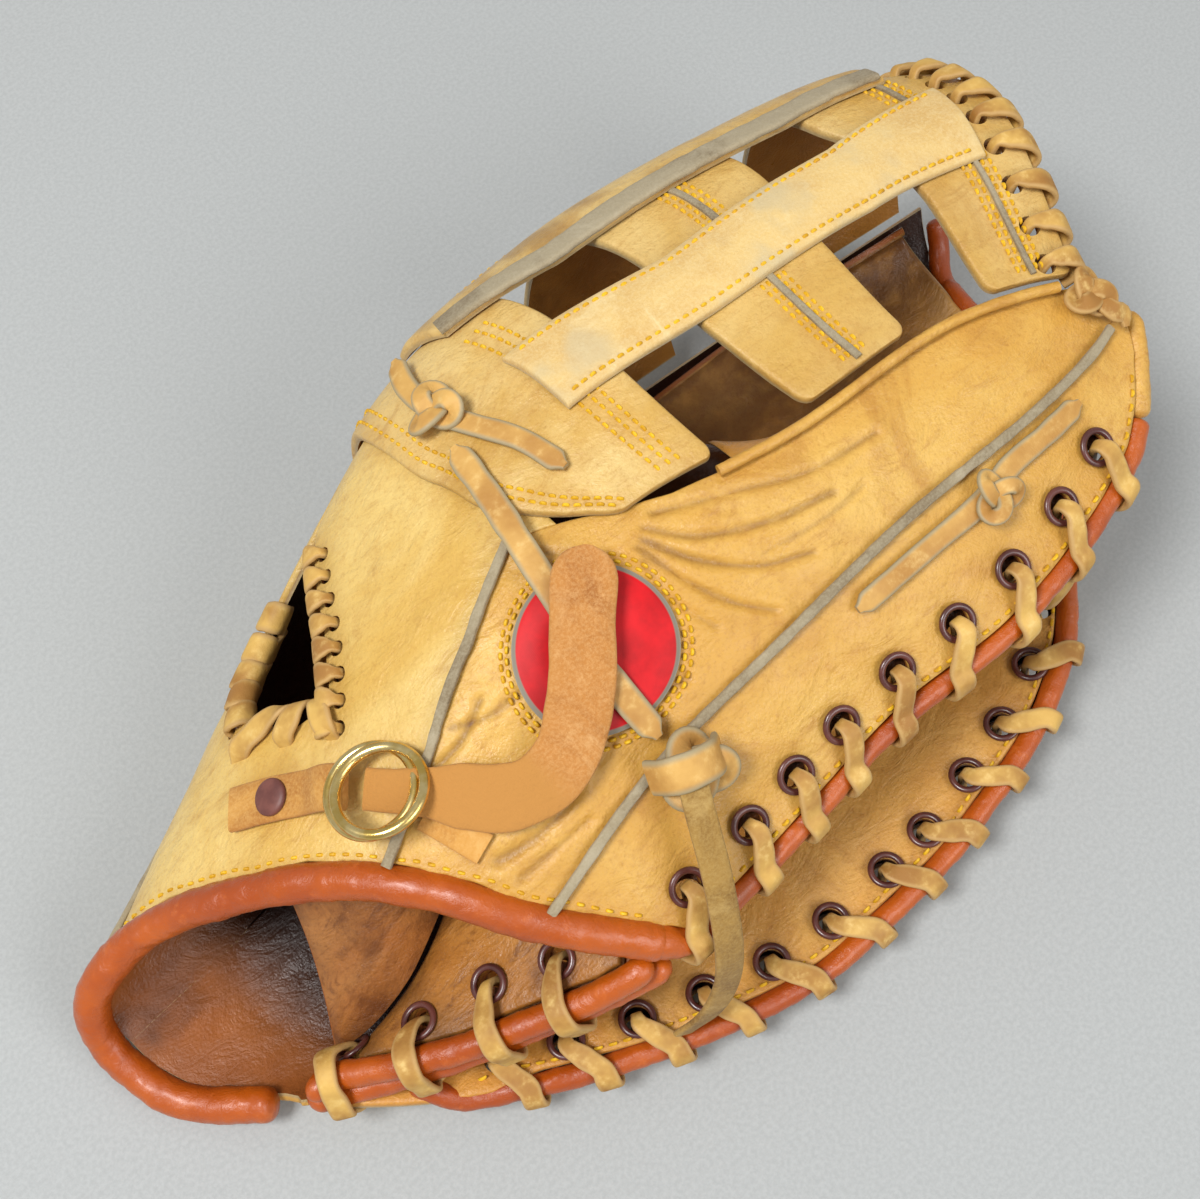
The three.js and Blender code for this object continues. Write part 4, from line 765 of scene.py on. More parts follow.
# The mitt's rims, holes and trimmed edges, worked out as in the model.
FINGER = dict(outer_rim=8, palm_rim=7, inward=-1, rise=3,
              holes=(0.055, 0.168, 0.256, 0.338, 0.431, 0.53, 0.64, 0.753, 0.855))
THUMB = dict(outer_rim=0, palm_rim=0, inward=1, rise=0,
             holes=(0.15, 0.205, 0.265, 0.325, 0.39, 0.46, 0.53, 0.585, 0.65, 0.71, 0.775, 0.83))
HEEL_HOLES = (2.2, 3.4, 4.5)
LAST = 0.965
ROOM = -0.2
TIP = 0.984
STATIONS = (0, 0.08, 0.11, 0.15, 0.2, 0.25, 0.3, 0.35, 0.4, 0.45, 0.5, 0.6, 0.7, 0.8, 0.88, 0.94, TIP)


def rim_centre(side, along):
    return (outer.point(along, side["outer_rim"]) + palm.point(along, side["palm_rim"])) / 2


def rim_tangent(side, along):
    return unit(rim_centre(side, along + 0.02) - rim_centre(side, along - 0.02))


FINGER_ROLL = np.concatenate([rim_centre(FINGER, np.linspace(0.06, 0.97, 21)),
                              outer.at(1, np.linspace(7.75, 6.15, 5), -RIM_OFFSET)])
THUMB_ROLL = np.concatenate([rim_centre(THUMB, np.linspace(0.12, 0.97, 21)),
                             outer.at(1, np.linspace(0.3, 2.4, 5), -RIM_OFFSET)])
ROLL_SPOTS = np.concatenate([curve_through(FINGER_ROLL, 1.2), curve_through(THUMB_ROLL, 1.2)])


def rolls_clear(surface, along, around, lifts):
    """Whether leather at a place stays clear of the rolled rims, at each of its two faces."""
    spots = [surface.at(along, around, lift) for lift in lifts]
    return all(np.min(np.linalg.norm(ROLL_SPOTS - spot, axis=1)) > RIM_ROLL + ROOM for spot in spots)


def beside_rim(surface, rim, inward, along, lifts):
    around = rim + inward * 0.04
    while not rolls_clear(surface, along, around, lifts):
        around += inward * 0.02
    return around


def tip_end(surface, around, lifts):
    along = 0.99
    while not rolls_clear(surface, along, around, lifts):
        along -= 0.003
    return along


def heel_start(surface, around, clearance):
    """The first place along the mitt that is as far from the heel's edge as clearance says."""
    edge = surface.point(0, np.linspace(0, surface.count - 1, 61))
    along = 0.0
    while np.min(np.linalg.norm(edge - surface.point(along, around), axis=1)) < clearance:
        along += 0.002
    return along


def edge_line(surface, rim, inward, lifts):
    return [(a, beside_rim(surface, rim, inward, min(a, LAST), lifts)) for a in STATIONS]


OUTER_FACES = (0, -LEATHER)
PALM_FACES = (0, LEATHER)
FINGER_OUTER_EDGE = edge_line(outer, 8, -1, OUTER_FACES)
THUMB_OUTER_EDGE = edge_line(outer, 0, 1, OUTER_FACES)
FINGER_PALM_EDGE = edge_line(palm, 7, -1, PALM_FACES)
THUMB_PALM_EDGE = edge_line(palm, 0, 1, PALM_FACES)


def inset(surface, line, amount):
    """A line moved across the surface by some millimetres."""
    return [(a, v + amount / np.linalg.norm(surface.steps(a, v)[1])) for a, v in line]


def nearest(surface, target, along, around):
    """The place on a surface below a target, found in small steps from a first guess."""
    for _ in range(12):
        gap = target - surface.point(along, around)
        lengthwise, across = surface.steps(along, around)
        aa, ab, bb = lengthwise @ lengthwise, lengthwise @ across, across @ across
        det = aa * bb - ab * ab
        da = 0.8 * (bb * (gap @ lengthwise) - ab * (gap @ across)) / det
        dv = 0.8 * (aa * (gap @ across) - ab * (gap @ lengthwise)) / det
        along, around = along + da, around + dv
    return along, around


def rim_hole(side, along):
    """A hole through both leathers beside a rim, with its ways up, inward and along the rim."""
    tangent = rim_tangent(side, along)
    centre = rim_centre(side, along)
    up = np.array([0, 0, 1.0 if side["inward"] < 0 else -1.0])
    up = unit(up - tangent * (up @ tangent))
    inward = np.cross(up, tangent)
    if inward[1] < 0:
        inward = -inward
    middle = centre + inward * RIM_INSET + up * side["rise"]
    guess = side["inward"] * 0.4
    on_outer = nearest(outer, middle + up * 5, along, side["outer_rim"] + guess)
    on_palm = nearest(palm, middle - up * 5, along, side["palm_rim"] + guess)
    return dict(along=along, tangent=tangent, inward=inward, up=up,
                outer=outer.point(*on_outer), outer_normal=outer.normal(*on_outer),
                palm=palm.point(*on_palm), palm_normal=palm.normal(*on_palm))


FINGER_HOLES = [rim_hole(FINGER, a) for a in FINGER["holes"]]
THUMB_HOLES = [rim_hole(THUMB, a) for a in THUMB["holes"]]
RIGHT_SPOTS = [(a, lookup(SLIT_RIGHT, a) + SLIT_INSET / np.linalg.norm(outer.steps(a, 4.5)[1]))
               for a in np.linspace(0.116, 0.268, 8)]
LEFT_SPOTS = [(a, lookup(SLIT_LEFT, a) - SLIT_INSET / np.linalg.norm(outer.steps(a, 4.0)[1]))
              for a in np.linspace(0.14, 0.244, 5)]
TIP_SPOTS = [(0.946, v) for v in np.linspace(3.3, 5.85, 13)]
HEEL_SPOTS = [(0.038, v) for v in HEEL_HOLES]
EYED_SPOTS = [(0.03, 1.05), *[(0.03, v) for v in HEEL_HOLES]]


# Creases that show on the back, as (along, around) lines, with depth and width in millimetres.
BACK_CREASES = (
    (((0.40, 6.05), (0.43, 6.25), (0.50, 6.42), (0.57, 6.50)), 0.7, 1.0),
    (((0.39, 6.10), (0.41, 6.35), (0.45, 6.60), (0.50, 6.75)), 0.8, 1.2),
    (((0.38, 6.12), (0.385, 6.40), (0.40, 6.68), (0.42, 6.85)), 0.7, 1.0),
    (((0.42, 6.02), (0.50, 6.15), (0.58, 6.28), (0.66, 6.32)), 0.6, 0.9),
    (((0.37, 6.20), (0.36, 6.45), (0.365, 6.70)), 0.5, 0.9),
    (((0.10, 5.90), (0.125, 6.00), (0.16, 6.02)), 0.8, 1.0),
    (((0.13, 5.90), (0.15, 6.10), (0.185, 6.22)), 0.6, 0.9),
    (((0.045, 6.50), (0.07, 6.62), (0.11, 6.72), (0.14, 6.72)), 0.7, 1.2),
    (((0.04, 6.70), (0.08, 6.80), (0.12, 6.88)), 0.6, 0.9),
    (((0.46, 6.55), (0.54, 6.62), (0.60, 6.60)), 0.4, 0.8),
    (((0.17, 6.75), (0.23, 6.72), (0.30, 6.80)), 0.5, 1.0),
    (((0.30, 5.70), (0.33, 5.95), (0.34, 6.20)), 0.5, 0.9),
)


def relief(points, creases=(), puckers=(), amount=1.0):
    """How far leather stands off its smooth surface, and how dark it is painted in its creases and puckers:
    painted shade, with wear in the creases.
    """
    flat = points.reshape(-1, 3)
    height = amount * (0.32 * noise(flat, 19, 3) + 0.12 * noise(flat, 7, 4) + 0.03 * noise(flat, 2.6, 5))
    wear_and_shade = np.zeros(len(flat))
    for line, depth, width in creases:
        path = curve_through(outer.point(*np.array(line).T), 2.5)
        wander = 1.2 * noise(flat, 7, 9)
        gap = np.abs(nearby(path, flat) + wander * 0.4)
        dip = np.exp(-(gap / width) ** 2)
        height += depth * (0.5 * np.exp(-((gap - 2.4 * width) / (1.6 * width)) ** 2) - dip)
        # The crease is darker: painted shade together with wear.
        wear_and_shade += 0.75 * depth * np.exp(-(gap / (0.6 * width)) ** 2)
    for spot, depth, width in puckers:
        gap = np.linalg.norm(flat - spot, axis=1)
        height -= depth * np.exp(-(gap / width) ** 2)
        # The pucker's dip is darker: painted shade.
        wear_and_shade += 0.25 * np.exp(-(gap / (width * 0.8)) ** 2)
    shape = points.shape[:-1]
    return height.reshape(shape), np.clip(wear_and_shade, 0, 1).reshape(shape)


def leather_start(surface, around, clearance):
    """Where leather starts along the mitt, clear of the roll round its heel."""
    samples = np.linspace(np.min(around), np.max(around), 14)
    return np.interp(around, samples, [heel_start(surface, v, clearance) for v in samples])


def leather_end(surface, around, low, lifts):
    """Where leather ends along the mitt, clear of the roll round its tip."""
    tips = np.linspace(low, around[-1].max(), 10)
    return np.interp(around, tips, [tip_end(surface, v, lifts) for v in tips])


def back_panel(name, from_line, to_line, cells, along_cells, node, end_at=None, holes=(), puckers=(),
               creases=(), last=TIP, material=TAN):
    """One panel of the back between two lines, from the wrist roll to the tips or to a line of its own."""
    share = spread(cells, 60)
    stations = spread(along_cells, HEEL_TO_TIP)[:, None] * last
    low, high = lookup(from_line, stations), lookup(to_line, stations)
    around = low * (1 - share) + high * share
    start = leather_start(outer, around, WRIST_ROLL - 0.4)
    if end_at:
        end = lookup(end_at, around)
    elif last > LAST:
        end = leather_end(outer, around, around[-1].min(), OUTER_FACES)
    else:
        end = np.full(around.shape, last)
    along = start + (end - start) * stations / last
    low, high = lookup(from_line, along), lookup(to_line, along)
    around = low * (1 - share) + high * share
    base = outer.point(along, around)
    height, wear_and_shade = relief(base, creases, puckers)
    height = np.minimum(height, 0.35)
    normals = outer.normal(along, around)
    top = base + normals * height[..., None]
    top[..., 2] = np.maximum(top[..., 2], 0)
    bottom = base - normals * LEATHER
    bundle = Bundle()
    # depth paints shade on the flesh side, darker deeper inside the mitt.
    sheet(bundle, top, bottom, holes=holes, wear_and_shade=wear_and_shade, rounding=0.5, depth=smooth((along - 0.03) / 0.17))
    bundle.piece(name, material, "tan_leather", (node,))


def clear_of(line, sign):
    """A seam's line moved so far that the two panels meet in it."""
    return inset(outer, line, -sign * SEAM_OVERLAP)


OUTER_RIM_CUTS = [(h["outer"], h["outer_normal"], HOLE_RADIUS) for h in FINGER_HOLES]
THUMB_RIM_CUTS = [(h["outer"], h["outer_normal"], HOLE_RADIUS) for h in THUMB_HOLES]
PALM_CUTS = [(h["palm"], h["palm_normal"], HOLE_RADIUS) for h in FINGER_HOLES + THUMB_HOLES]
PALM_CUTS += [(palm.point(*s), palm.normal(*s), HOLE_RADIUS) for s in HEEL_SPOTS]
BASE_END = ((2, 0.395), (4.1, 0.395), (4.8, 0.35), (5.3, 0.345), (6, 0.345))


def make_backs():
    puckers = [(h["outer"], 0.8, 6.5) for h in FINGER_HOLES]
    back_panel("finger_back_outer_leather", clear_of(BACK_SEAM, 1), FINGER_OUTER_EDGE, 30, 200,
               "finger_back_outer", holes=OUTER_RIM_CUTS, puckers=puckers, creases=BACK_CREASES[7:])
    back_panel("finger_back_middle_leather", clear_of(INNER_SEAM, 1), clear_of(BACK_SEAM, -1), 60, 290,
               "finger_back_middle", creases=BACK_CREASES)
    right = [(outer.point(*s), outer.normal(*s), SLIT_HOLE) for s in RIGHT_SPOTS]
    back_panel("finger_back_inner_leather", RIGHT_TRIM, clear_of(INNER_SEAM, -1), 56, 120,
               "finger_back_inner", end_at=BASE_END, holes=right, puckers=[(c[0], 0.4, 4) for c in right],
               creases=BACK_CREASES[5:7], last=0.4, material=TAN_PALE)
    left = [(outer.point(*s), outer.normal(*s), SLIT_HOLE) for s in LEFT_SPOTS]
    back_panel("thumb_back_inner_leather", THUMB_SEAM, LEFT_TRIM, 90, 120,
               "thumb_back_inner", end_at=BASE_END, holes=left, puckers=[(c[0], 0.4, 4) for c in left],
               last=0.4, material=TAN_PALE)
    back_panel("thumb_back_outer_leather", THUMB_OUTER_EDGE, clear_of(SOLE_SEAM, -1), 110, 180,
               "thumb_back_outer", holes=THUMB_RIM_CUTS)


def make_palm():
    share = spread(150, 230)
    stations = spread(210, HEEL_TO_TIP)[:, None] * TIP
    thumb_edge = lookup(THUMB_PALM_EDGE, stations)
    finger_edge = lookup(FINGER_PALM_EDGE, stations)
    t = share * 7
    around = np.where(t < 3, 3 - (3 - t) / 3 * (3 - thumb_edge),
                      np.where(t > 4, 4 + (t - 4) / 3 * (finger_edge - 4), t))
    start = leather_start(palm, around, HEEL_ROLL - 0.3)
    end = np.where(around > 3.5, leather_end(palm, around, 3.5, PALM_FACES), LAST - 0.003)
    along = start + (end - start) * stations / TIP
    base = palm.point(along, around)
    height, wear_and_shade = relief(base, puckers=[(h["palm"], 0.9, 6) for h in THUMB_HOLES])
    normals = palm.normal(along, around)
    top = base - normals * np.minimum(height, 0.3)[..., None]
    bottom = base + normals * LEATHER
    # The palm's centre and pocket are darker: painted shade where they lie deep in the mitt behind the web,
    # with oil stains.
    heart = np.exp(-((around - 3.2) / 1.5) ** 2) * smooth((along - 0.15) / 0.3)
    pocket = np.exp(-((around - 3.0) / 1.1) ** 2) * smooth((along - 0.4) / 0.15)
    wear_and_shade = np.clip(wear_and_shade + 0.42 * heart * (0.7 + 0.5 * noise(base, 22, 8)) + 0.5 * pocket, 0, 1)
    middle_t = (t[:-1] + t[1:])[None, :] / 2
    middle_s = (stations[:-1] + stations[1:]) / 2
    keep = (middle_t < 3) | (middle_t > 4) | (middle_s < 0.45)
    keep |= (middle_s < 0.5) & ((middle_t < 3.3) | (middle_t > 3.7))
    bundle = Bundle()
    # depth paints a lighter shade on the palm's flesh side, darker deeper inside the mitt.
    sheet(bundle, top, bottom, keep=keep, holes=PALM_CUTS, wear_and_shade=wear_and_shade,
          depth=0.6 * smooth((along - 0.15) / 0.1))
    bundle.piece("palm_leather", PALM, "palm_leather", ("palm",))


# Raised welts on the seams.
def laid_rings(surface, line, width, thick, step=1.2):
    """Sections of a strap laid on a surface along (along, around, lift, own width) stations."""
    stations = [(*s[:3], s[3] if len(s) > 3 else width) for s in line]
    spots = np.array([surface.at(a, v, lift + thick / 2) for a, v, lift, _ in stations])
    normals = np.array([surface.normal(a, v) for a, v, _, _ in stations])
    extras = np.concatenate([normals, [[s[3]] for s in stations]], axis=1)
    path, carried = curve_through(spots, step, extras)
    across = unit(np.cross(unit(carried[:, :3]), directions(path)))
    return path, across, carried[:, 3] / 2


def make_welts():
    for name, high, line in (("welt_inner", 0.305, INNER_SEAM), ("welt_outer", 0.965, BACK_SEAM),
                             ("welt_thumb", 0.2, ((0, 3), (1, 3)))):
        seam = [(a, lookup(line, a), LAYER_GAP) for a in np.linspace(0.014, high, 44)]
        path, across, half = laid_rings(outer, seam, WELT_WIDTH, WELT_HEIGHT)
        ragged = half * (1 + 0.12 * noise(path, 2.2, 31))
        rings, _ = strap_rings(path, across, ragged, WELT_HEIGHT * (1 + 0.15 * noise(path, 3, 32)))
        bundle = Bundle()
        bundle.add(rings, loft(rings))
        bundle.piece(f"{name}_edge", WELT, "raw_welt", (name,))


def make_bindings():
    def binding(name, points, radius, node, **more):
        bundle = Bundle()
        rope(bundle, points, radius, **more)
        bundle.piece(name, BINDING, "binding_leather", (node,))

    wrist = np.linspace(0.05, 7.9, 23)
    binding("wrist_binding_roll", outer.at(0, wrist, -1), WRIST_ROLL, "wrist_binding",
            pucker=0.09, size=7, sides=32, tuck=2.5)
    heel = np.linspace(0.5, 6.6, 13)
    binding("heel_binding_palm_roll", palm.at(0, heel, 0.2), HEEL_ROLL + 0.5,
            "heel_binding_palm", pucker=0.09, tuck=4)
    lining = np.linspace(0.55, 6.3, 13)
    binding("heel_binding_lining_roll", palm.at(0, lining, PAD_TOP - 0.3), HEEL_ROLL + 0.5,
            "heel_binding_lining", pucker=0.09, tuck=4)
    bend = [outer.at(0, 7.55, -1), outer.at(0, 7.85, -1), *rim_centre(FINGER, np.array([0.02, 0.045]))]
    along_rim = np.concatenate([bend, FINGER_ROLL[:20]])
    sizes = ((0, 4.15), (0.04, 4.1), (0.08, 3.6), (0.14, RIM_ROLL), (1, RIM_ROLL))
    binding("finger_edge_roll", along_rim, sizes, "finger_edge_binding", pucker=0.1, tuck=1.5)
    under = palm.at(0.0, 1.9, -3.6)
    binding("thumb_edge_roll", [under, *THUMB_ROLL], RIM_ROLL, "thumb_edge_binding", pucker=0.1, tuck=2)
    bundle = Bundle()
    rope(bundle, FINGER_ROLL[19:], RIM_ROLL - 0.1, pucker=0.1, tuck=2)
    bundle.piece("finger_tip_roll", TAN, "tan_leather", ("finger_edge_binding",))
    bundle = Bundle()
    along = np.linspace(0.5, 0.95, 15)
    rope(bundle, outer.at(along, WEB_EDGE + 0.01, 2), PIPING, sides=14)
    bundle.piece("web_edge_cord", TAN, "pale_suede", ("web_edge_piping",))


# The pad, lining and gusset inside.
PAD_EDGE = ((0, 0.6), (0.06, 0.7), (0.12, 1.3), (0.2, 2.0))


def make_inside():
    share = spread(90, 110)
    stations = spread(44, 60)[:, None] * 0.2
    around = lookup(PAD_EDGE, stations) * (1 - share) + 5.5 * share
    along = stations + leather_start(palm, around, HEEL_ROLL + 0.6) * (1 - stations / 0.2)
    base = palm.point(along, around)
    normals = palm.normal(along, around)
    height, wear_and_shade = relief(base, puckers=[(palm.at(*s, PAD_TOP), 0.8, 5) for s in EYED_SPOTS])
    dirty = np.exp(-((around - 1.7) / 0.8) ** 2) + 0.6 * np.exp(-((along - 0.02) / 0.02) ** 2)
    wear_and_shade = np.clip(wear_and_shade + 0.55 * dirty * (0.6 + 0.8 * noise(base, 9, 14)), 0, 1)
    cuts = [(palm.at(*s, PAD_TOP), palm.normal(*s), HOLE_RADIUS) for s in EYED_SPOTS]
    bundle = Bundle()
    sheet(bundle, base + normals * (PAD_TOP - 0.1 + np.minimum(height, 0.4))[..., None],
          base + normals * PAD_LOW, holes=cuts, wear_and_shade=wear_and_shade)
    bundle.piece("heel_pad_leather", PAD, "lining_leather", ("heel_pad",))

    deep = np.linspace(0, 1, 60)[:, None]
    t = np.linspace(0, 1, 50)[None, :]
    foot = palm.at(0.024 + 0.236 * deep, lookup(((0, 0.85), (0.35, 2.9), (1, 3.2)), deep), 8.2)
    top = outer.at(0.006 + 0.254 * deep, lookup(((0, 4.8), (0.3, 5.2), (1, 5.2)), deep), -LEATHER - 2.5)
    wall = foot * (1 - t[..., None]) + top * t[..., None]
    wall[..., 0] += 1.5 * np.sin(np.pi * t) * (1 - deep)
    bulge = 0.5 * noise(wall, 9, 21) + 0.3
    face_a, face_b = wall.copy(), wall.copy()
    face_a[..., 1] -= 0.9 + 0.4 * bulge
    face_b[..., 1] += 0.9
    bundle = Bundle()
    sheet(bundle, face_a, face_b, wear_and_shade=0.25 + 0.35 * layered(wall, 12, 22), raw=0.0)
    bundle.piece("stall_lining_leather", LINING, "lining_leather", ("stall_lining",))

    along = np.linspace(0.53, 0.945, 90)[:, None]
    t = np.linspace(0, 1, 16)[None, :]
    top = outer.at(along, WEB_EDGE + 0.04, -LEATHER - LAYER_GAP)
    foot = palm.at(along, 4.05, LEATHER + LAYER_GAP)
    wall = top * (1 - t[..., None]) + foot * t[..., None]
    wall[..., 1] += 2 * np.sin(np.pi * t)
    other = wall.copy()
    other[..., 1] += 1.5
    bundle = Bundle()
    sheet(bundle, other, wall)
    bundle.piece("finger_gusset_leather", PALM, "palm_leather", ("finger_gusset",))


# Laces that whip the rims.
def rim_lace(side, holes, top_is_outer, slant):
    """The lace through a rim's eyelets: up through each hole, round the roll and on below."""
    bundle = Bundle()
    sign = 1 if top_is_outer else -1
    stations = []
    for k, hole in enumerate(holes):
        next_along = holes[k + 1]["along"] if k + 1 < len(holes) else hole["along"] + 0.07
        top, foot = (hole["outer"], hole["palm"]) if top_is_outer else (hole["palm"], hole["outer"])
        top_up = sign * (hole["outer_normal"] if top_is_outer else hole["palm_normal"])
        across = hole["tangent"]
        lean = hole["along"] + slant * (next_along - hole["along"])
        rim_up = hole["up"] * sign
        out = -hole["inward"]
        skin = EYELET_HEIGHT + 0.6 + 0.45 + LACE_THICK / 2
        under = 1.4 + LACE_THICK / 2
        stations.append((foot - rim_up * under, across, LACE_IN_HOLE / 2))
        stations.append((top + top_up * (skin - 1.4) - out * 0.5, across, LACE_IN_HOLE / 2))
        flat = unit(out - top_up * (out @ top_up))
        bend = rim_tangent(side, lean)
        reach = RIM_ROLL + 0.75 + LACE_THICK / 2
        over = []
        for angle, extra, share in ((75, 0, 0.8), (45, 0.1, 0.87), (10, 0, 0.94), (-22, 0.1, 1.02),
                                    (-55, 0.2, 1.1), (-110, 1, 1.15)):
            turn = math.radians(angle)
            centre = rim_centre(side, hole["along"] + share * (lean - hole["along"]))
            over.append((centre + (rim_up * math.sin(turn) + out * math.cos(turn)) * (reach + extra), bend,
                         LACE_WIDTH / 2))
        first = top + top_up * (skin + 0.1) + flat * 1.9
        half_way = (first + over[0][0]) / 2 + top_up * 0.25
        stations += [(first, across, LACE_WIDTH * 0.42), (half_way, bend, LACE_WIDTH / 2), *over]
        if k + 1 < len(holes):
            way = hole["along"] + 0.62 * (next_along - hole["along"])
            surface, rim = (palm, side["palm_rim"]) if top_is_outer else (outer, side["outer_rim"])
            target = rim_centre(side, way) - out * 6 - rim_up * 5
            spot = nearest(surface, target, way, rim + side["inward"] * 0.3)
            lift = -under if top_is_outer else under + 0.6
            stations.append((surface.at(*spot, lift), bend, LACE_WIDTH / 2))
    for s in stations:
        s[0][2] = max(s[0][2], 0.9)
    thong(bundle, stations, seed=41 if top_is_outer else 57)
    return bundle


def edge_lace(surface, spots, edge_way, edge_of, low, high, width, in_hole, seed, thick=TIE_THICK):
    """A lace that whips the edge of leather: through each spot, over the edge and back below."""
    bundle = Bundle()
    stations = []
    for k, (a, v) in enumerate(spots):
        a2, v2 = spots[k + 1] if k + 1 < len(spots) else (2 * a - spots[k - 1][0], 2 * v - spots[k - 1][1])
        normal = surface.normal(a, v)
        spot = surface.point(a, v)
        across = unit(surface.point(a2, v2) - spot)
        lengthwise, sideways = surface.steps(a, v)
        out = lengthwise * edge_way[0] + sideways * edge_way[1]
        out = out - across * (out @ across)
        out = unit(out - normal * (out @ normal))
        half = np.linalg.norm(surface.point(a2, v2) - spot) * 0.12
        reach = (surface.point(*edge_of(a, v)) - spot) @ out + 2.2
        for way, lift, lean, w in ((0, low, 0, in_hole), (0, high - 0.9, 0, in_hole),
                                   (reach * 0.3, high, half * 0.5, width * 0.8),
                                   (reach * 0.65, high, half, width),
                                   (reach, (low + high) / 2 + 1.2, half * 1.5, width),
                                   (reach, (low + high) / 2 - 1.2, half * 2, width),
                                   (reach * 0.6, low, half * 2.5, width)):
            stations.append((spot + normal * lift + out * way + across * lean, across, w / 2))
    thong(bundle, stations, thick, step=0.7, seed=seed)
    return bundle


def make_laces():
    slot = "rawhide_lace"
    finger = rim_lace(FINGER, FINGER_HOLES, True, -0.35)
    finger.piece("finger_rim_lacing", LACE, slot, ("finger_edge_lace",))
    thumb = rim_lace(THUMB, THUMB_HOLES, False, 0.45)
    thumb.piece("thumb_rim_lacing", LACE, slot, ("thumb_edge_lace",))
    lift = 0.9 + TIE_THICK / 2
    right = edge_lace(outer, RIGHT_SPOTS, (0, -1), lambda a, v: (a, lookup(SLIT_RIGHT, a)),
                      -LEATHER - lift, lift, SLIT_LACE, 2.4, 73)
    right.piece("slit_lacing_right", LACE, slot, ("slit_lace_right",))
    left = edge_lace(outer, LEFT_SPOTS, (0, 1), lambda a, v: (a, lookup(SLIT_LEFT, a)),
                     -LEATHER - lift, lift, SLIT_LACE + 1.6, 2.4, 79)
    for k, turn in enumerate((-0.32, -0.04, 0.22)):
        across = unit(outer.steps(0.11, 4.63)[1])
        thong(left, [(outer.at(a, 4.63 + turn * share, height), across, half) for a, share, height, half in
                     ((0.142, 0.3, -2, 2.0), (0.137, 0.5, 1.2, 2.6), (0.126, 0.8, lift + 0.4, 3.0),
                      (0.115, 1.1, lift, 2.8), (0.108, 1.3, -1.2, 1.6))], 1.5, seed=101 + k)
    left.piece("slit_lacing_left", LACE, slot, ("slit_lace_left",))
    tip = edge_lace(outer, TIP_SPOTS, (1, 0), lambda a, v: (WEB_TIP_EDGE, v), WEB_LOW - 3, WEB_HIGH + 2.4,
                    LACE_WIDTH + 0.6, 2.8, 83, LACE_THICK)
    add_knot(tip, outer, (0.975, 6.15), 4.2, 3.4, 2.4, 1.6)
    lace_on(tip, ((0.976, 6.2, 3), (0.982, 6.5, 4.2), (0.98, 6.85, 4), (0.972, 7.2, 3.2)), width=4.6)
    tip.piece("web_tip_lacing", LACE, slot, ("web_tip_lace",))
    stations = []
    for a, v in EYED_SPOTS:
        lengthwise, across = palm.steps(0.0, v)
        across = unit(across)
        normal = palm.normal(0.0, v)
        out = unit(np.cross(normal, across))
        if out @ lengthwise > 0:
            out = -out
        edge = palm.at(0.0, v, 0.4)
        stations.append((palm.at(a, v, -2.3), across, LACE_IN_HOLE / 2))
        stations.append((palm.at(a, v, 7.2), across, LACE_IN_HOLE / 2))
        for way, height in ((-3, 10.3), (1, 10.6), (4.2, 8.2), (4.8, 3), (4.5, -2.4), (0.5, -5.4)):
            stations.append((edge + out * way + normal * height, across, LACE_WIDTH / 2))
    bundle = Bundle()
    thong(bundle, stations, seed=91)
    bundle.piece("heel_lacing", LACE, slot, ("heel_lace",))


# The web
WEB_FOOT = 2.66
WEB_REACH = 3.27
WEB_TOP = 5.93
WEB_TIP_EDGE = 0.973

# The two long edges of each cross piece of the web, as (around, along) pairs.
WEB_BASE = (((WEB_FOOT, 0.44), (3, 0.42), (4, 0.375), (4.84, 0.315), (5.35, 0.307), (5.67, 0.336),
             (5.84, 0.371), (WEB_TOP, 0.4)),
            ((WEB_FOOT, 0.51), (3, 0.5), (4, 0.49), (4.4, 0.505), (5.01, 0.49), (5.5, 0.499),
             (WEB_TOP, 0.512)))
WEB_MIDDLE = (((WEB_FOOT, 0.6), (4.64, 0.592), (5.35, 0.583), (5.7, 0.604), (WEB_TOP, 0.622)),
              ((WEB_FOOT, 0.74), (4.61, 0.744), (5.24, 0.735), (5.61, 0.75), (WEB_TOP, 0.768)))
WEB_TIP = (((WEB_FOOT, 0.84), (4, 0.82), (4.72, 0.82), (5.35, 0.861), (WEB_TOP, 0.873)),
           ((WEB_FOOT, WEB_TIP_EDGE), (WEB_TOP, WEB_TIP_EDGE)))


def eased(pairs, key):
    """A lookup whose corners are rounded."""
    return sum(lookup(pairs, key + d) for d in (-0.09, -0.045, 0, 0.045, 0.09)) / 5


def cross_piece(name, node, edges, cells, holes=()):
    """A piece of the web that lies across it, with rounded corners at its free end."""
    s = np.concatenate([np.linspace(0, 0.94, 170), 1 - 0.06 * np.linspace(1, 0, 24)[1:] ** 2])
    arounds = WEB_FOOT + WEB_REACH * s
    share = spread(cells, 40)[:, None]
    to_end = (WEB_TOP - arounds) * np.linalg.norm(outer.steps(0.7, 5.8)[1])
    corner = CORNER * (1 - np.sqrt(1 - np.clip(1 - to_end / CORNER, 0, 1) ** 2)) / WEB_HEEL_TO_TIP
    along = (eased(edges[0], arounds) + corner) * (1 - share) + (eased(edges[1], arounds) - corner) * share
    around = np.broadcast_to(arounds, along.shape)
    base = outer.point(along, around)
    normals = outer.normal(along, around)
    height, wear_and_shade = relief(base, amount=0.8)
    top = base + normals * (WEB_HIGH + np.minimum(height, 0.3))[..., None]
    bottom = base + normals * WEB_LOW
    bundle = Bundle()
    sheet(bundle, top, bottom, holes=holes, wear_and_shade=wear_and_shade)
    bundle.piece(name, WEB_TAN, "tan_leather", (node,))


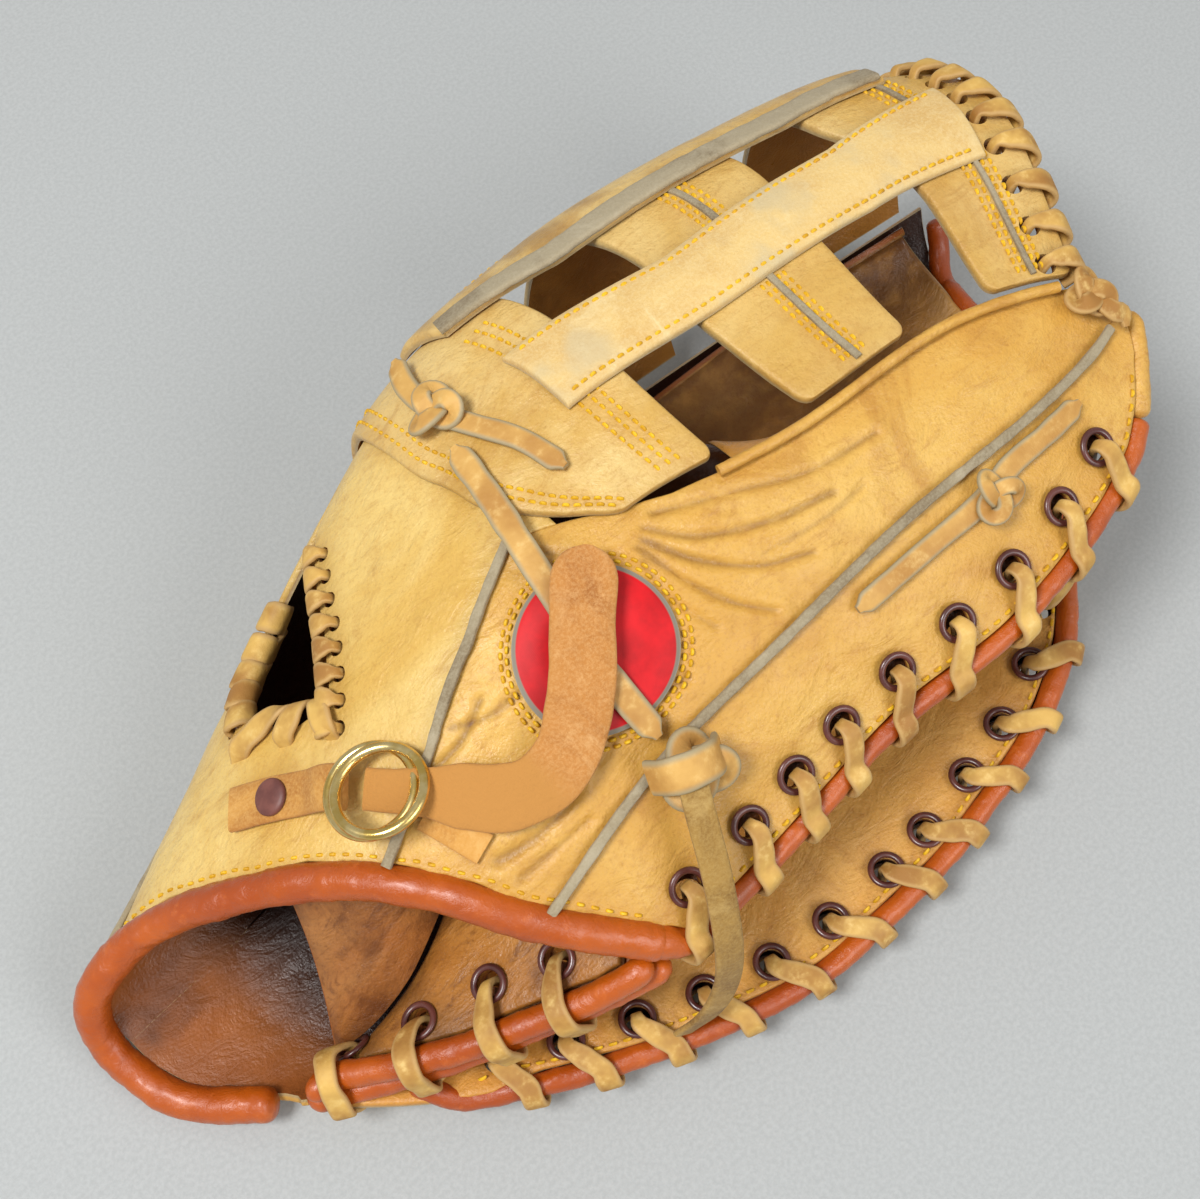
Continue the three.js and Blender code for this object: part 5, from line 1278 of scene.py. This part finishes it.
def long_strap(name, node, ends, low, high, material):
    """A strap of the web that lies lengthwise over the cross pieces."""
    share = spread(18, 22)
    along = spread(110, 130)[:, None] * (ends[1] - ends[0]) + ends[0]
    around = lookup(low, along) * (1 - share) + lookup(high, along) * share
    along = np.broadcast_to(along, around.shape)
    base = outer.point(along, around)
    normals = outer.normal(along, around)
    height, _ = relief(base, amount=0.8)
    crown = 0.8 * (1 - (2 * share - 1) ** 2)
    smudge = smooth((layered(base, 11, 61) + 0.05) / 0.8) * 0.6
    top = base + normals * (STRAP_HIGH - 0.2 + crown + np.minimum(height, 0.4))[..., None]
    bundle = Bundle()
    sheet(bundle, top, base + normals * STRAP_LOW, wear_and_shade=smudge)
    bundle.piece(name, material, "pale_suede", (node,))


def crosswise_line(edges, share, offset, low=2.75, high=5.88):
    """A line across a web piece at a share of its width, moved along by some millimetres."""
    v = np.linspace(low, high, 50)
    along = eased(edges[0], v) * (1 - share) + eased(edges[1], v) * share + offset / HEEL_TO_TIP
    return np.stack([along, v], axis=-1)


def band(bundle, line, width, thick):
    """A raised raw edge on the back."""
    path, across, half = laid_rings(outer, line, width, thick)
    ragged = half * (1 + 0.1 * noise(path, 2.4, 35))
    rings, _ = strap_rings(path, across, ragged, thick)
    bundle.add(rings, loft(rings))


def make_web():
    cross_piece("web_base_leather", "web_base", WEB_BASE, 30)
    cross_piece("web_bar_middle_leather", "web_bar_middle", WEB_MIDDLE, 34)
    cuts = [(outer.point(*s), outer.normal(*s), TIP_HOLE) for s in TIP_SPOTS]
    cross_piece("web_bar_tip_leather", "web_bar_tip", WEB_TIP, 36, cuts)
    long_strap("web_strap_near_leather", "web_strap_near", NEAR_STRAP_ALONG, NEAR_STRAP_LOW, NEAR_STRAP_HIGH,
               PALE)
    long_strap("web_strap_far_leather", "web_strap_far", FAR_STRAP_ALONG, FAR_STRAP_LOW, FAR_STRAP_HIGH,
               WEB_TAN)
    raised = Bundle()
    for edges, share, width in ((WEB_MIDDLE, 0.55, 1.7), (WEB_TIP, 0.55, 1.3)):
        line = crosswise_line(edges, share, 0, 2.8, 5.9)
        band(raised, [(a, v, WEB_HIGH - 0.2) for a, v in line], width, 1.1)
    edge = inset(outer, FAR_STRAP_HIGH, -2.2)
    band(raised, [(a, lookup(edge, a), STRAP_HIGH - 0.7) for a in np.linspace(0.453, 0.905, 24)], 6.4, 1.8)
    raised.piece("web_raised_edges", WELT, "raw_welt")


# Stitching
def stitch_row(bundle, surface, line, lift, pitch=2.4, gap=0.65):
    """Short threads in a row along a line of (along, around) pairs, each dipping at its ends."""
    line = np.asarray(line, float)
    spots = surface.at(line[:, 0], line[:, 1], lift)
    normals = surface.normal(line[:, 0], line[:, 1])
    path, ups = curve_through(spots, 0.5, normals)
    ups = unit(ups)
    length = run_length(path)
    count = max(int(length[-1] // pitch), 1)
    for k in range(count):
        middle = (k + 0.5) * length[-1] / count
        half = (length[-1] / count - gap) / 2
        marks = middle + half * np.array([-1, -0.8, -0.35, 0.35, 0.8, 1])
        centre = np.stack([np.interp(marks, length, path[:, i]) for i in range(3)], axis=-1)
        up = unit(np.stack([np.interp(marks, length, ups[:, i]) for i in range(3)], axis=-1))
        rise = np.array([-0.45, -0.05, 0.2, 0.2, -0.05, -0.45])
        size = THREAD * np.array([0.55, 0.95, 1.1, 1.1, 0.95, 0.55])
        centre = centre + up * rise[:, None]
        side = unit(np.cross(up, directions(centre)))
        angles = np.arange(6) * np.pi / 3
        rings = (centre[:, None] + side[:, None] * np.cos(angles)[None, :, None] * size[:, None, None]
                 + up[:, None] * np.sin(angles)[None, :, None] * size[:, None, None])
        bundle.add(rings, loft(rings))


def lengthwise_line(line, low, high, count=40):
    return [(a, lookup(line, a)) for a in np.linspace(low, high, count)]


def make_stitches():
    thread = Bundle()
    for line, sign in ((FINGER_OUTER_EDGE, -1), (THUMB_OUTER_EDGE, 1)):
        stitch_row(thread, outer, lengthwise_line(inset(outer, line, sign * 1.6), 0.06, 0.95), 0.1, 3.4, 1.4)
    stitch_row(thread, palm, lengthwise_line(inset(palm, THUMB_PALM_EDGE, 1.6), 0.13, 0.95), -0.1, 3.4, 1.4)
    start = [(heel_start(outer, v, WRIST_ROLL + 1.2), v) for v in np.linspace(2.2, 7.6, 36)]
    stitch_row(thread, outer, start, 0.1, 3.2, 1.4)
    thread.piece("rim_stitching", YELLOW, "pale_suede")

    web = Bundle()
    top = WEB_HIGH + 0.05
    for offset in (3.2, 6.2):
        stitch_row(web, outer, crosswise_line(WEB_BASE, 0, offset, 3.0, 5.9), top)
    for share, offset in ((1, -9.0), (1, -12.0), (1, -15.5)):
        stitch_row(web, outer, crosswise_line(WEB_BASE, share, offset, 4.55, 5.88), top)
    for offset in (-3.9, -1.9, 1.9, 3.9):
        stitch_row(web, outer, crosswise_line(WEB_MIDDLE, 0.55, offset), top)
        stitch_row(web, outer, crosswise_line(WEB_TIP, 0.55, offset), top)
    over = STRAP_HIGH + 0.1
    for low, high, ends in ((NEAR_STRAP_LOW, NEAR_STRAP_HIGH, NEAR_STRAP_ALONG),
                            (FAR_STRAP_LOW, FAR_STRAP_HIGH, FAR_STRAP_ALONG)):
        for line, sign in ((low, 1), (high, -1)):
            stitch_row(web, outer, lengthwise_line(inset(outer, line, sign * 2), ends[0] + 0.012,
                                                   ends[1] - 0.012, 30), over)
    web.piece("web_stitching", YELLOW, "pale_suede")


# Small fittings
def spin(profile, count):
    """Rings of a profile of (radius, height) pairs turned about Z."""
    angles = np.linspace(0, 2 * np.pi, count, endpoint=False)
    profile = np.asarray(profile, float)
    x = profile[None, :, 0] * np.cos(angles)[:, None]
    y = profile[None, :, 0] * np.sin(angles)[:, None]
    z = np.broadcast_to(profile[None, :, 1], x.shape)
    return np.stack([x, y, z], axis=-1)


def aimed(points, origin, normal):
    """Turns +Z to a normal and moves to an origin."""
    helper = np.array([1.0, 0, 0]) if abs(normal[0]) < 0.9 else np.array([0, 1.0, 0])
    side = unit(np.cross(helper, normal))
    other = np.cross(normal, side)
    return origin + points[..., :1] * side + points[..., 1:2] * other + points[..., 2:] * normal


def oval(centre, wide, tall, count=12):
    angles = np.linspace(0, 2 * np.pi, count, endpoint=False)
    return [(centre[0] + wide * math.cos(a), centre[1] + tall * math.sin(a)) for a in angles]


def make_eyelets():
    middle = (EYELET_OUTER + EYELET_INNER) / 2
    section = oval((middle, EYELET_HEIGHT * 0.45), (EYELET_OUTER - EYELET_INNER) / 2, EYELET_HEIGHT * 0.62)
    rings = spin(section, 28)
    for side, face, sign, holes in (("finger", "outer", 1, FINGER_HOLES),
                                    ("thumb", "palm", -1, THUMB_HOLES[1:11])):
        for k, hole in enumerate(holes, 1):
            normal = sign * hole[f"{face}_normal"]
            node = f"{side}_eyelet_{k}"
            bundle = Bundle()
            bundle.add(aimed(rings, hole[face] + normal * 0.35, normal), loft(rings, closed=True))
            bundle.piece(f"{node}_ring", EYELET, "dark_eyelet", (node,))
    heel = Bundle()
    for a, v in EYED_SPOTS:
        normal = palm.normal(a, v)
        heel.add(aimed(rings, palm.at(a, v, 6.5), normal), loft(rings, closed=True))
    heel.piece("heel_eyelets", EYELET, "dark_eyelet")


def make_patch():
    spot = (0.266, 6.36)
    lengthwise, across = outer.steps(*spot)
    side = unit(lengthwise)
    other = np.cross(outer.normal(*spot), side)
    rim_steps = np.array([0.9, 0.5, 0.15, 0])
    radii = np.concatenate([np.linspace(0, PATCH_RADIUS - 1.2, 20), PATCH_RADIUS - rim_steps])
    angles = np.linspace(0, 2 * np.pi, 96, endpoint=False)
    aa, ab, bb = lengthwise @ lengthwise, lengthwise @ across, across @ across
    det = aa * bb - ab * ab

    def laid_on(radius, angle, lift):
        way = np.cos(angle)[..., None] * side + np.sin(angle)[..., None] * other
        shift = way * np.asarray(radius, float)[..., None]
        p, q = shift @ lengthwise, shift @ across
        return outer.at(spot[0] + (bb * p - ab * q) / det, spot[1] + (aa * q - ab * p) / det, lift)

    ring, turn = np.meshgrid(radii[1:], angles, indexing="ij")
    dome = PATCH_LIFT + PATCH_THICK - 0.7 * smooth((ring - PATCH_RADIUS + 1.2) / 1.2)
    dome += 0.5 * np.exp(-((ring - 12) / 4) ** 2)
    top = laid_on(ring, turn, dome)
    low = laid_on(PATCH_RADIUS, angles, 0.8)
    bundle = Bundle()
    middle = laid_on(0, np.zeros(1), PATCH_LIFT + PATCH_THICK)
    points = np.concatenate([middle, top.reshape(-1, 3), low])
    faces = [(0, 1 + (k + 1) % 96, 1 + k) for k in range(96)]
    for i in range(len(radii) - 1):
        for k in range(96):
            a, b = 1 + i * 96 + k, 1 + i * 96 + (k + 1) % 96
            faces.append((a, b, b + 96, a + 96))
    faces.append(tuple(1 + (len(radii) - 1) * 96 + k for k in range(96))[::-1])
    rim = np.concatenate([[0], (ring.ravel() > PATCH_RADIUS - 1), np.ones(96)]).astype(float)
    bundle.add(points, faces, 0, rim)
    bundle.piece("round_patch_cloth", PATCH, "red_patch", ("round_patch",))
    thread = Bundle()
    for radius in (PATCH_RADIUS + 1.3, PATCH_RADIUS + 2.8):
        path = laid_on(radius, np.linspace(0, 2 * np.pi, 37), 0)
        line = [nearest(outer, p, *spot) for p in path]
        stitch_row(thread, outer, line, 0.3, 2.4, 0.7)
    thread.piece("patch_stitching", YELLOW, "red_patch")


STRAP_LINE = ((0.07, 5.42, 3, 9), (0.072, 5.62, 3, 9), (0.078, 5.87, 3, 10.4), (0.086, 6.15, 3),
              (0.1, 6.38, 3.2), (0.128, 6.53, 3.6), (0.165, 6.56, 4.4), (0.2, 6.5, 5.2), (0.235, 6.4, 5.8),
              (0.27, 6.26, 6), (0.305, 6.12, 6.2), (0.34, 5.99, 6.2))
TAB_LINE = ((0.066, 4.4, 0.9), (0.067, 4.65, 0.9), (0.068, 4.88, 0.9), (0.069, 5.08, 3.8), (0.07, 5.27, 4))
KEEPER_LINE = ((0.06, 5.9, 0.8), (0.054, 6.15, 0.8), (0.05, 6.38, 0.8))


def strap(name, node, line, width, thick, material, round_end=0.0, smooth_until=0.0):
    """A suede strap along a line, rounded at its end and smooth up to a share of its length."""
    path, across, half = laid_rings(outer, line, width, thick, 0.8)
    length = run_length(path)
    if round_end:
        left = np.clip((length[-1] - length) / round_end, 0, 1)
        half = half * np.sqrt(np.maximum(1 - (1 - left) ** 2, 0.02))
    half = half * (1 + 0.035 * noise(path, 5, 5))
    depth = thick * (1 + 0.12 * noise(path, 4, 6))
    rings, rim = strap_rings(path, across, half, depth, 6)
    bundle = Bundle()
    skin = 1 - smooth((length / length[-1] - smooth_until) / 0.08 + 0.2 * noise(path, 3, 8))
    skin = np.broadcast_to(skin[:, None], rim.shape).ravel() if smooth_until else 0.0
    bundle.add(rings, loft(rings), 0.35 * rim.ravel() ** 6, rim.ravel(), skin)
    bundle.piece(name, material, "strap_suede", (node,))


def make_strap():
    strap("wrist_strap_leather", "wrist_strap", STRAP_LINE, STRAP_WIDTH, STRAP_THICK, SUEDE, round_end=7,
          smooth_until=0.42)
    strap("strap_tab_leather", "strap_tab", TAB_LINE, TAB_WIDTH, STRAP_THICK, TAB_SUEDE)
    strap("strap_keeper_leather", "strap_keeper", KEEPER_LINE, 7, 1.2, TAB_SUEDE)
    dome = [(0, 0), (RIVET_RADIUS, 0), (RIVET_RADIUS, 0.45), (RIVET_RADIUS - 0.25, 0.75),
            (RIVET_RADIUS * 0.75, 1.05), (RIVET_RADIUS * 0.4, 1.22), (0.02, 1.28)]
    bundle = Bundle()
    spot = (0.0675, 4.68)
    rings = spin(dome[1:], 32).transpose(1, 0, 2)
    bundle.add(aimed(rings, outer.at(*spot, 3.0), outer.normal(*spot)), loft(rings))
    bundle.piece("rivet_head", RIVET, "dark_eyelet", ("rivet",))
    lengthwise = unit(outer.steps(0.07, 5.5)[0])
    for k, (spot, tilt) in enumerate((((0.07, 5.5, 5.4), 0.32), ((0.0725, 5.6, 7.6), 0.45))):
        normal = unit(outer.normal(0.07, 5.5) + tilt * lengthwise)
        rings = spin(oval((RING_RADIUS, 0), RING_WIRE, RING_WIRE, 14), 64)
        bundle = Bundle()
        bundle.add(aimed(rings, outer.at(*spot), normal), loft(rings, closed=True))
        bundle.piece(f"brass_ring_{k + 1}", BRASS, "brass", (f"ring_{k + 1}",))


# Tied laces
def knot_path(surface, spot, size, lift, turn):
    """The path of an overhand knot lying on a surface."""
    t = np.linspace(0, 2 * np.pi, 30, endpoint=False)
    x = size * (np.sin(t) + 1.6 * np.sin(2 * t)) / 2.4
    y = size * (np.cos(t) - 1.6 * np.cos(2 * t)) / 2.4
    z = -np.sin(3 * t) * size * 0.3
    c, s = math.cos(turn), math.sin(turn)
    points = np.stack([c * x - s * y, s * x + c * y, z], axis=-1)
    return aimed(points, surface.at(*spot, lift), surface.normal(*spot))


def add_knot(bundle, surface, spot, size, lift, half, thick, turn=0.0):
    """An overhand knot of flat lace, added to a bundle."""
    path = knot_path(surface, spot, size, lift, turn)
    normal = surface.normal(*spot)
    line = curve_through(np.concatenate([path, path[:2]]), 0.7)[:-2]
    across = unit(np.cross(normal, directions(line)))
    lay(bundle, line, across, half, thick)


KNOT_SPOT = (0.222, 7.14)
TAIL_ACROSS = np.array([0.95, -0.3, 0.0])
TAIL_POINTS = ((-21, -56, 81), (-26, -66, 78), (-31, -78, 68), (-36, -88.5, 52), (-39, -92, 38),
               (-44, -93, 27), (-50, -91.5, 19.5))


def lace_on(bundle, line, width=LACE_WIDTH):
    """A lace laid on the back, narrower at its two ends."""
    path, across, half = laid_rings(outer, line, width, TIE_THICK, 0.8)
    length = run_length(path)
    to_end = np.minimum(length, length[-1] - length)
    half = half * (0.35 + 0.65 * smooth(to_end / 3)) * (1 + 0.08 * noise(path, 4, 7))
    lay(bundle, path, across, half, TIE_THICK)


def make_ties():
    bundle = Bundle()
    lace_on(bundle, ((0.388, 5.61, 4), (0.378, 5.35, 4), (0.366, 5.07, 4), (0.368, 4.8, 4.3), (0.39, 4.5, 5),
                     (0.42, 4.25, 6)))
    add_knot(bundle, outer, (0.368, 4.82), 5, 7.0, 2.4, 1.5)
    bundle.piece("crotch_tie", TIE, "rawhide_lace", ("crotch_lace",))
    bundle = Bundle()
    lace_on(bundle, ((0.342, 5.05, 4), (0.318, 5.45, 4), (0.291, 5.9, 4), (0.27, 6.2, 3.6),
                     (0.248, 6.53, 3.4), (0.23, 6.88, 3.4)), width=6.2)
    bundle.piece("back_tie", TIE, "rawhide_lace", ("tie_lace",))
    bundle = Bundle()
    lace_on(bundle, ((0.861, 7.22, 0.8), (0.8, 7.2, 0.8), (0.738, 7.19, 0.8), (0.674, 7.25, 0.8),
                     (0.598, 7.24, 0.8), (0.53, 7.22, 0.8), (0.476, 7.2, 0.8)))
    add_knot(bundle, outer, (0.69, 7.27), 4.6, 4.0, 1.9, 1.4, 0.6)
    bundle.piece("finger_tie_lace", TIE, "rawhide_lace", ("finger_tie",))
    knot = Bundle()
    add_knot(knot, outer, KNOT_SPOT, 5.6, 6.2, 3.5, 2.3, 0.4)
    normal = outer.normal(*KNOT_SPOT)
    down = unit(np.cross(TAIL_ACROSS, normal))
    middle = np.array(TAIL_POINTS[0]) + np.array([-1, -2.4, -0.6])
    thong(knot, [(middle + TAIL_ACROSS * way + normal * height, down, 4.2) for way, height in
                 ((-8, -3.5), (-5.5, 1), (-2, 2.9), (2, 2.9), (5.5, 1), (8, -3.5))], 1.8, seed=111)
    knot = knot.piece("tail_knot", TIE, "strap_suede")
    path = curve_through(np.array(TAIL_POINTS, float), 1.0)
    across = np.broadcast_to(TAIL_ACROSS, path.shape)
    bundle = Bundle()
    lay(bundle, path, across, 3.3, LACE_THICK)
    tail = bundle.piece("tie_tail_lace", TAIL_SUEDE, "strap_suede", ("tie_tail",))


# Camera and floor: angles in degrees, distances and the lens in millimetres, the floor's width in metres.
CAMERA_AZIMUTH = -41
CAMERA_ELEVATION = 66
CAMERA_DISTANCE = 400
CAMERA_TARGET = (0, -5, 42)
CAMERA_LENS = 50
FLOOR_WIDTH = 6
ROOM_LIGHT = 0.48

# Lights: name, place in metres, width in metres and power in watts.
LIGHTS = (("key", (-0.7, 0.1, 1.4), 0.5, 19.5), ("fill", (0.3, -1.2, 1.1), 0.9, 10))


def make_camera():
    az, el = math.radians(CAMERA_AZIMUTH), math.radians(CAMERA_ELEVATION)
    back = np.array([math.sin(az) * math.cos(el), -math.cos(az) * math.cos(el), math.sin(el)])
    data = bpy.data.cameras.new("camera")
    data.lens = CAMERA_LENS
    data.sensor_width = 36
    data.clip_start = 0.01
    camera = bpy.data.objects.new("camera", data)
    camera.location = Vector(((np.array(CAMERA_TARGET) + SHIFT + back * CAMERA_DISTANCE) / 1000).tolist())
    camera.rotation_euler = Vector(back.tolist()).to_track_quat("Z", "Y").to_euler()
    bpy.context.scene.collection.objects.link(camera)
    bpy.context.scene.camera = camera


def make_floor():
    mesh = bpy.data.meshes.new("floor")
    half = FLOOR_WIDTH / 2
    mesh.from_pydata([(-half, -half, 0), (half, -half, 0), (half, half, 0), (-half, half, 0)], [],
                     [(0, 1, 2, 3)])
    mesh.materials.append(floor_paper())
    floor = bpy.data.objects.new("floor", mesh)
    bpy.context.scene.collection.objects.link(floor)


def make_lights():
    world = bpy.data.worlds.new("studio")
    world.use_nodes = True
    world.node_tree.nodes["Background"].inputs["Color"].default_value = (0.97, 0.985, 1, 1)
    world.node_tree.nodes["Background"].inputs["Strength"].default_value = ROOM_LIGHT
    bpy.context.scene.world = world
    for name, place, size, power in LIGHTS:
        data = bpy.data.lights.new(name, "AREA")
        data.shape = "DISK"
        data.size = size
        data.energy = power
        light = bpy.data.objects.new(name, data)
        light.location = place
        light.rotation_euler = Vector(place).to_track_quat("Z", "Y").to_euler()
        bpy.context.scene.collection.objects.link(light)
    bpy.context.scene.view_settings.view_transform = "Standard"


make_camera()
make_ties()
make_backs()
make_palm()
make_welts()
make_bindings()
make_inside()
make_laces()
make_web()
make_stitches()
make_eyelets()
make_patch()
make_strap()
make_floor()
make_lights()

bpy.context.view_layer.update()
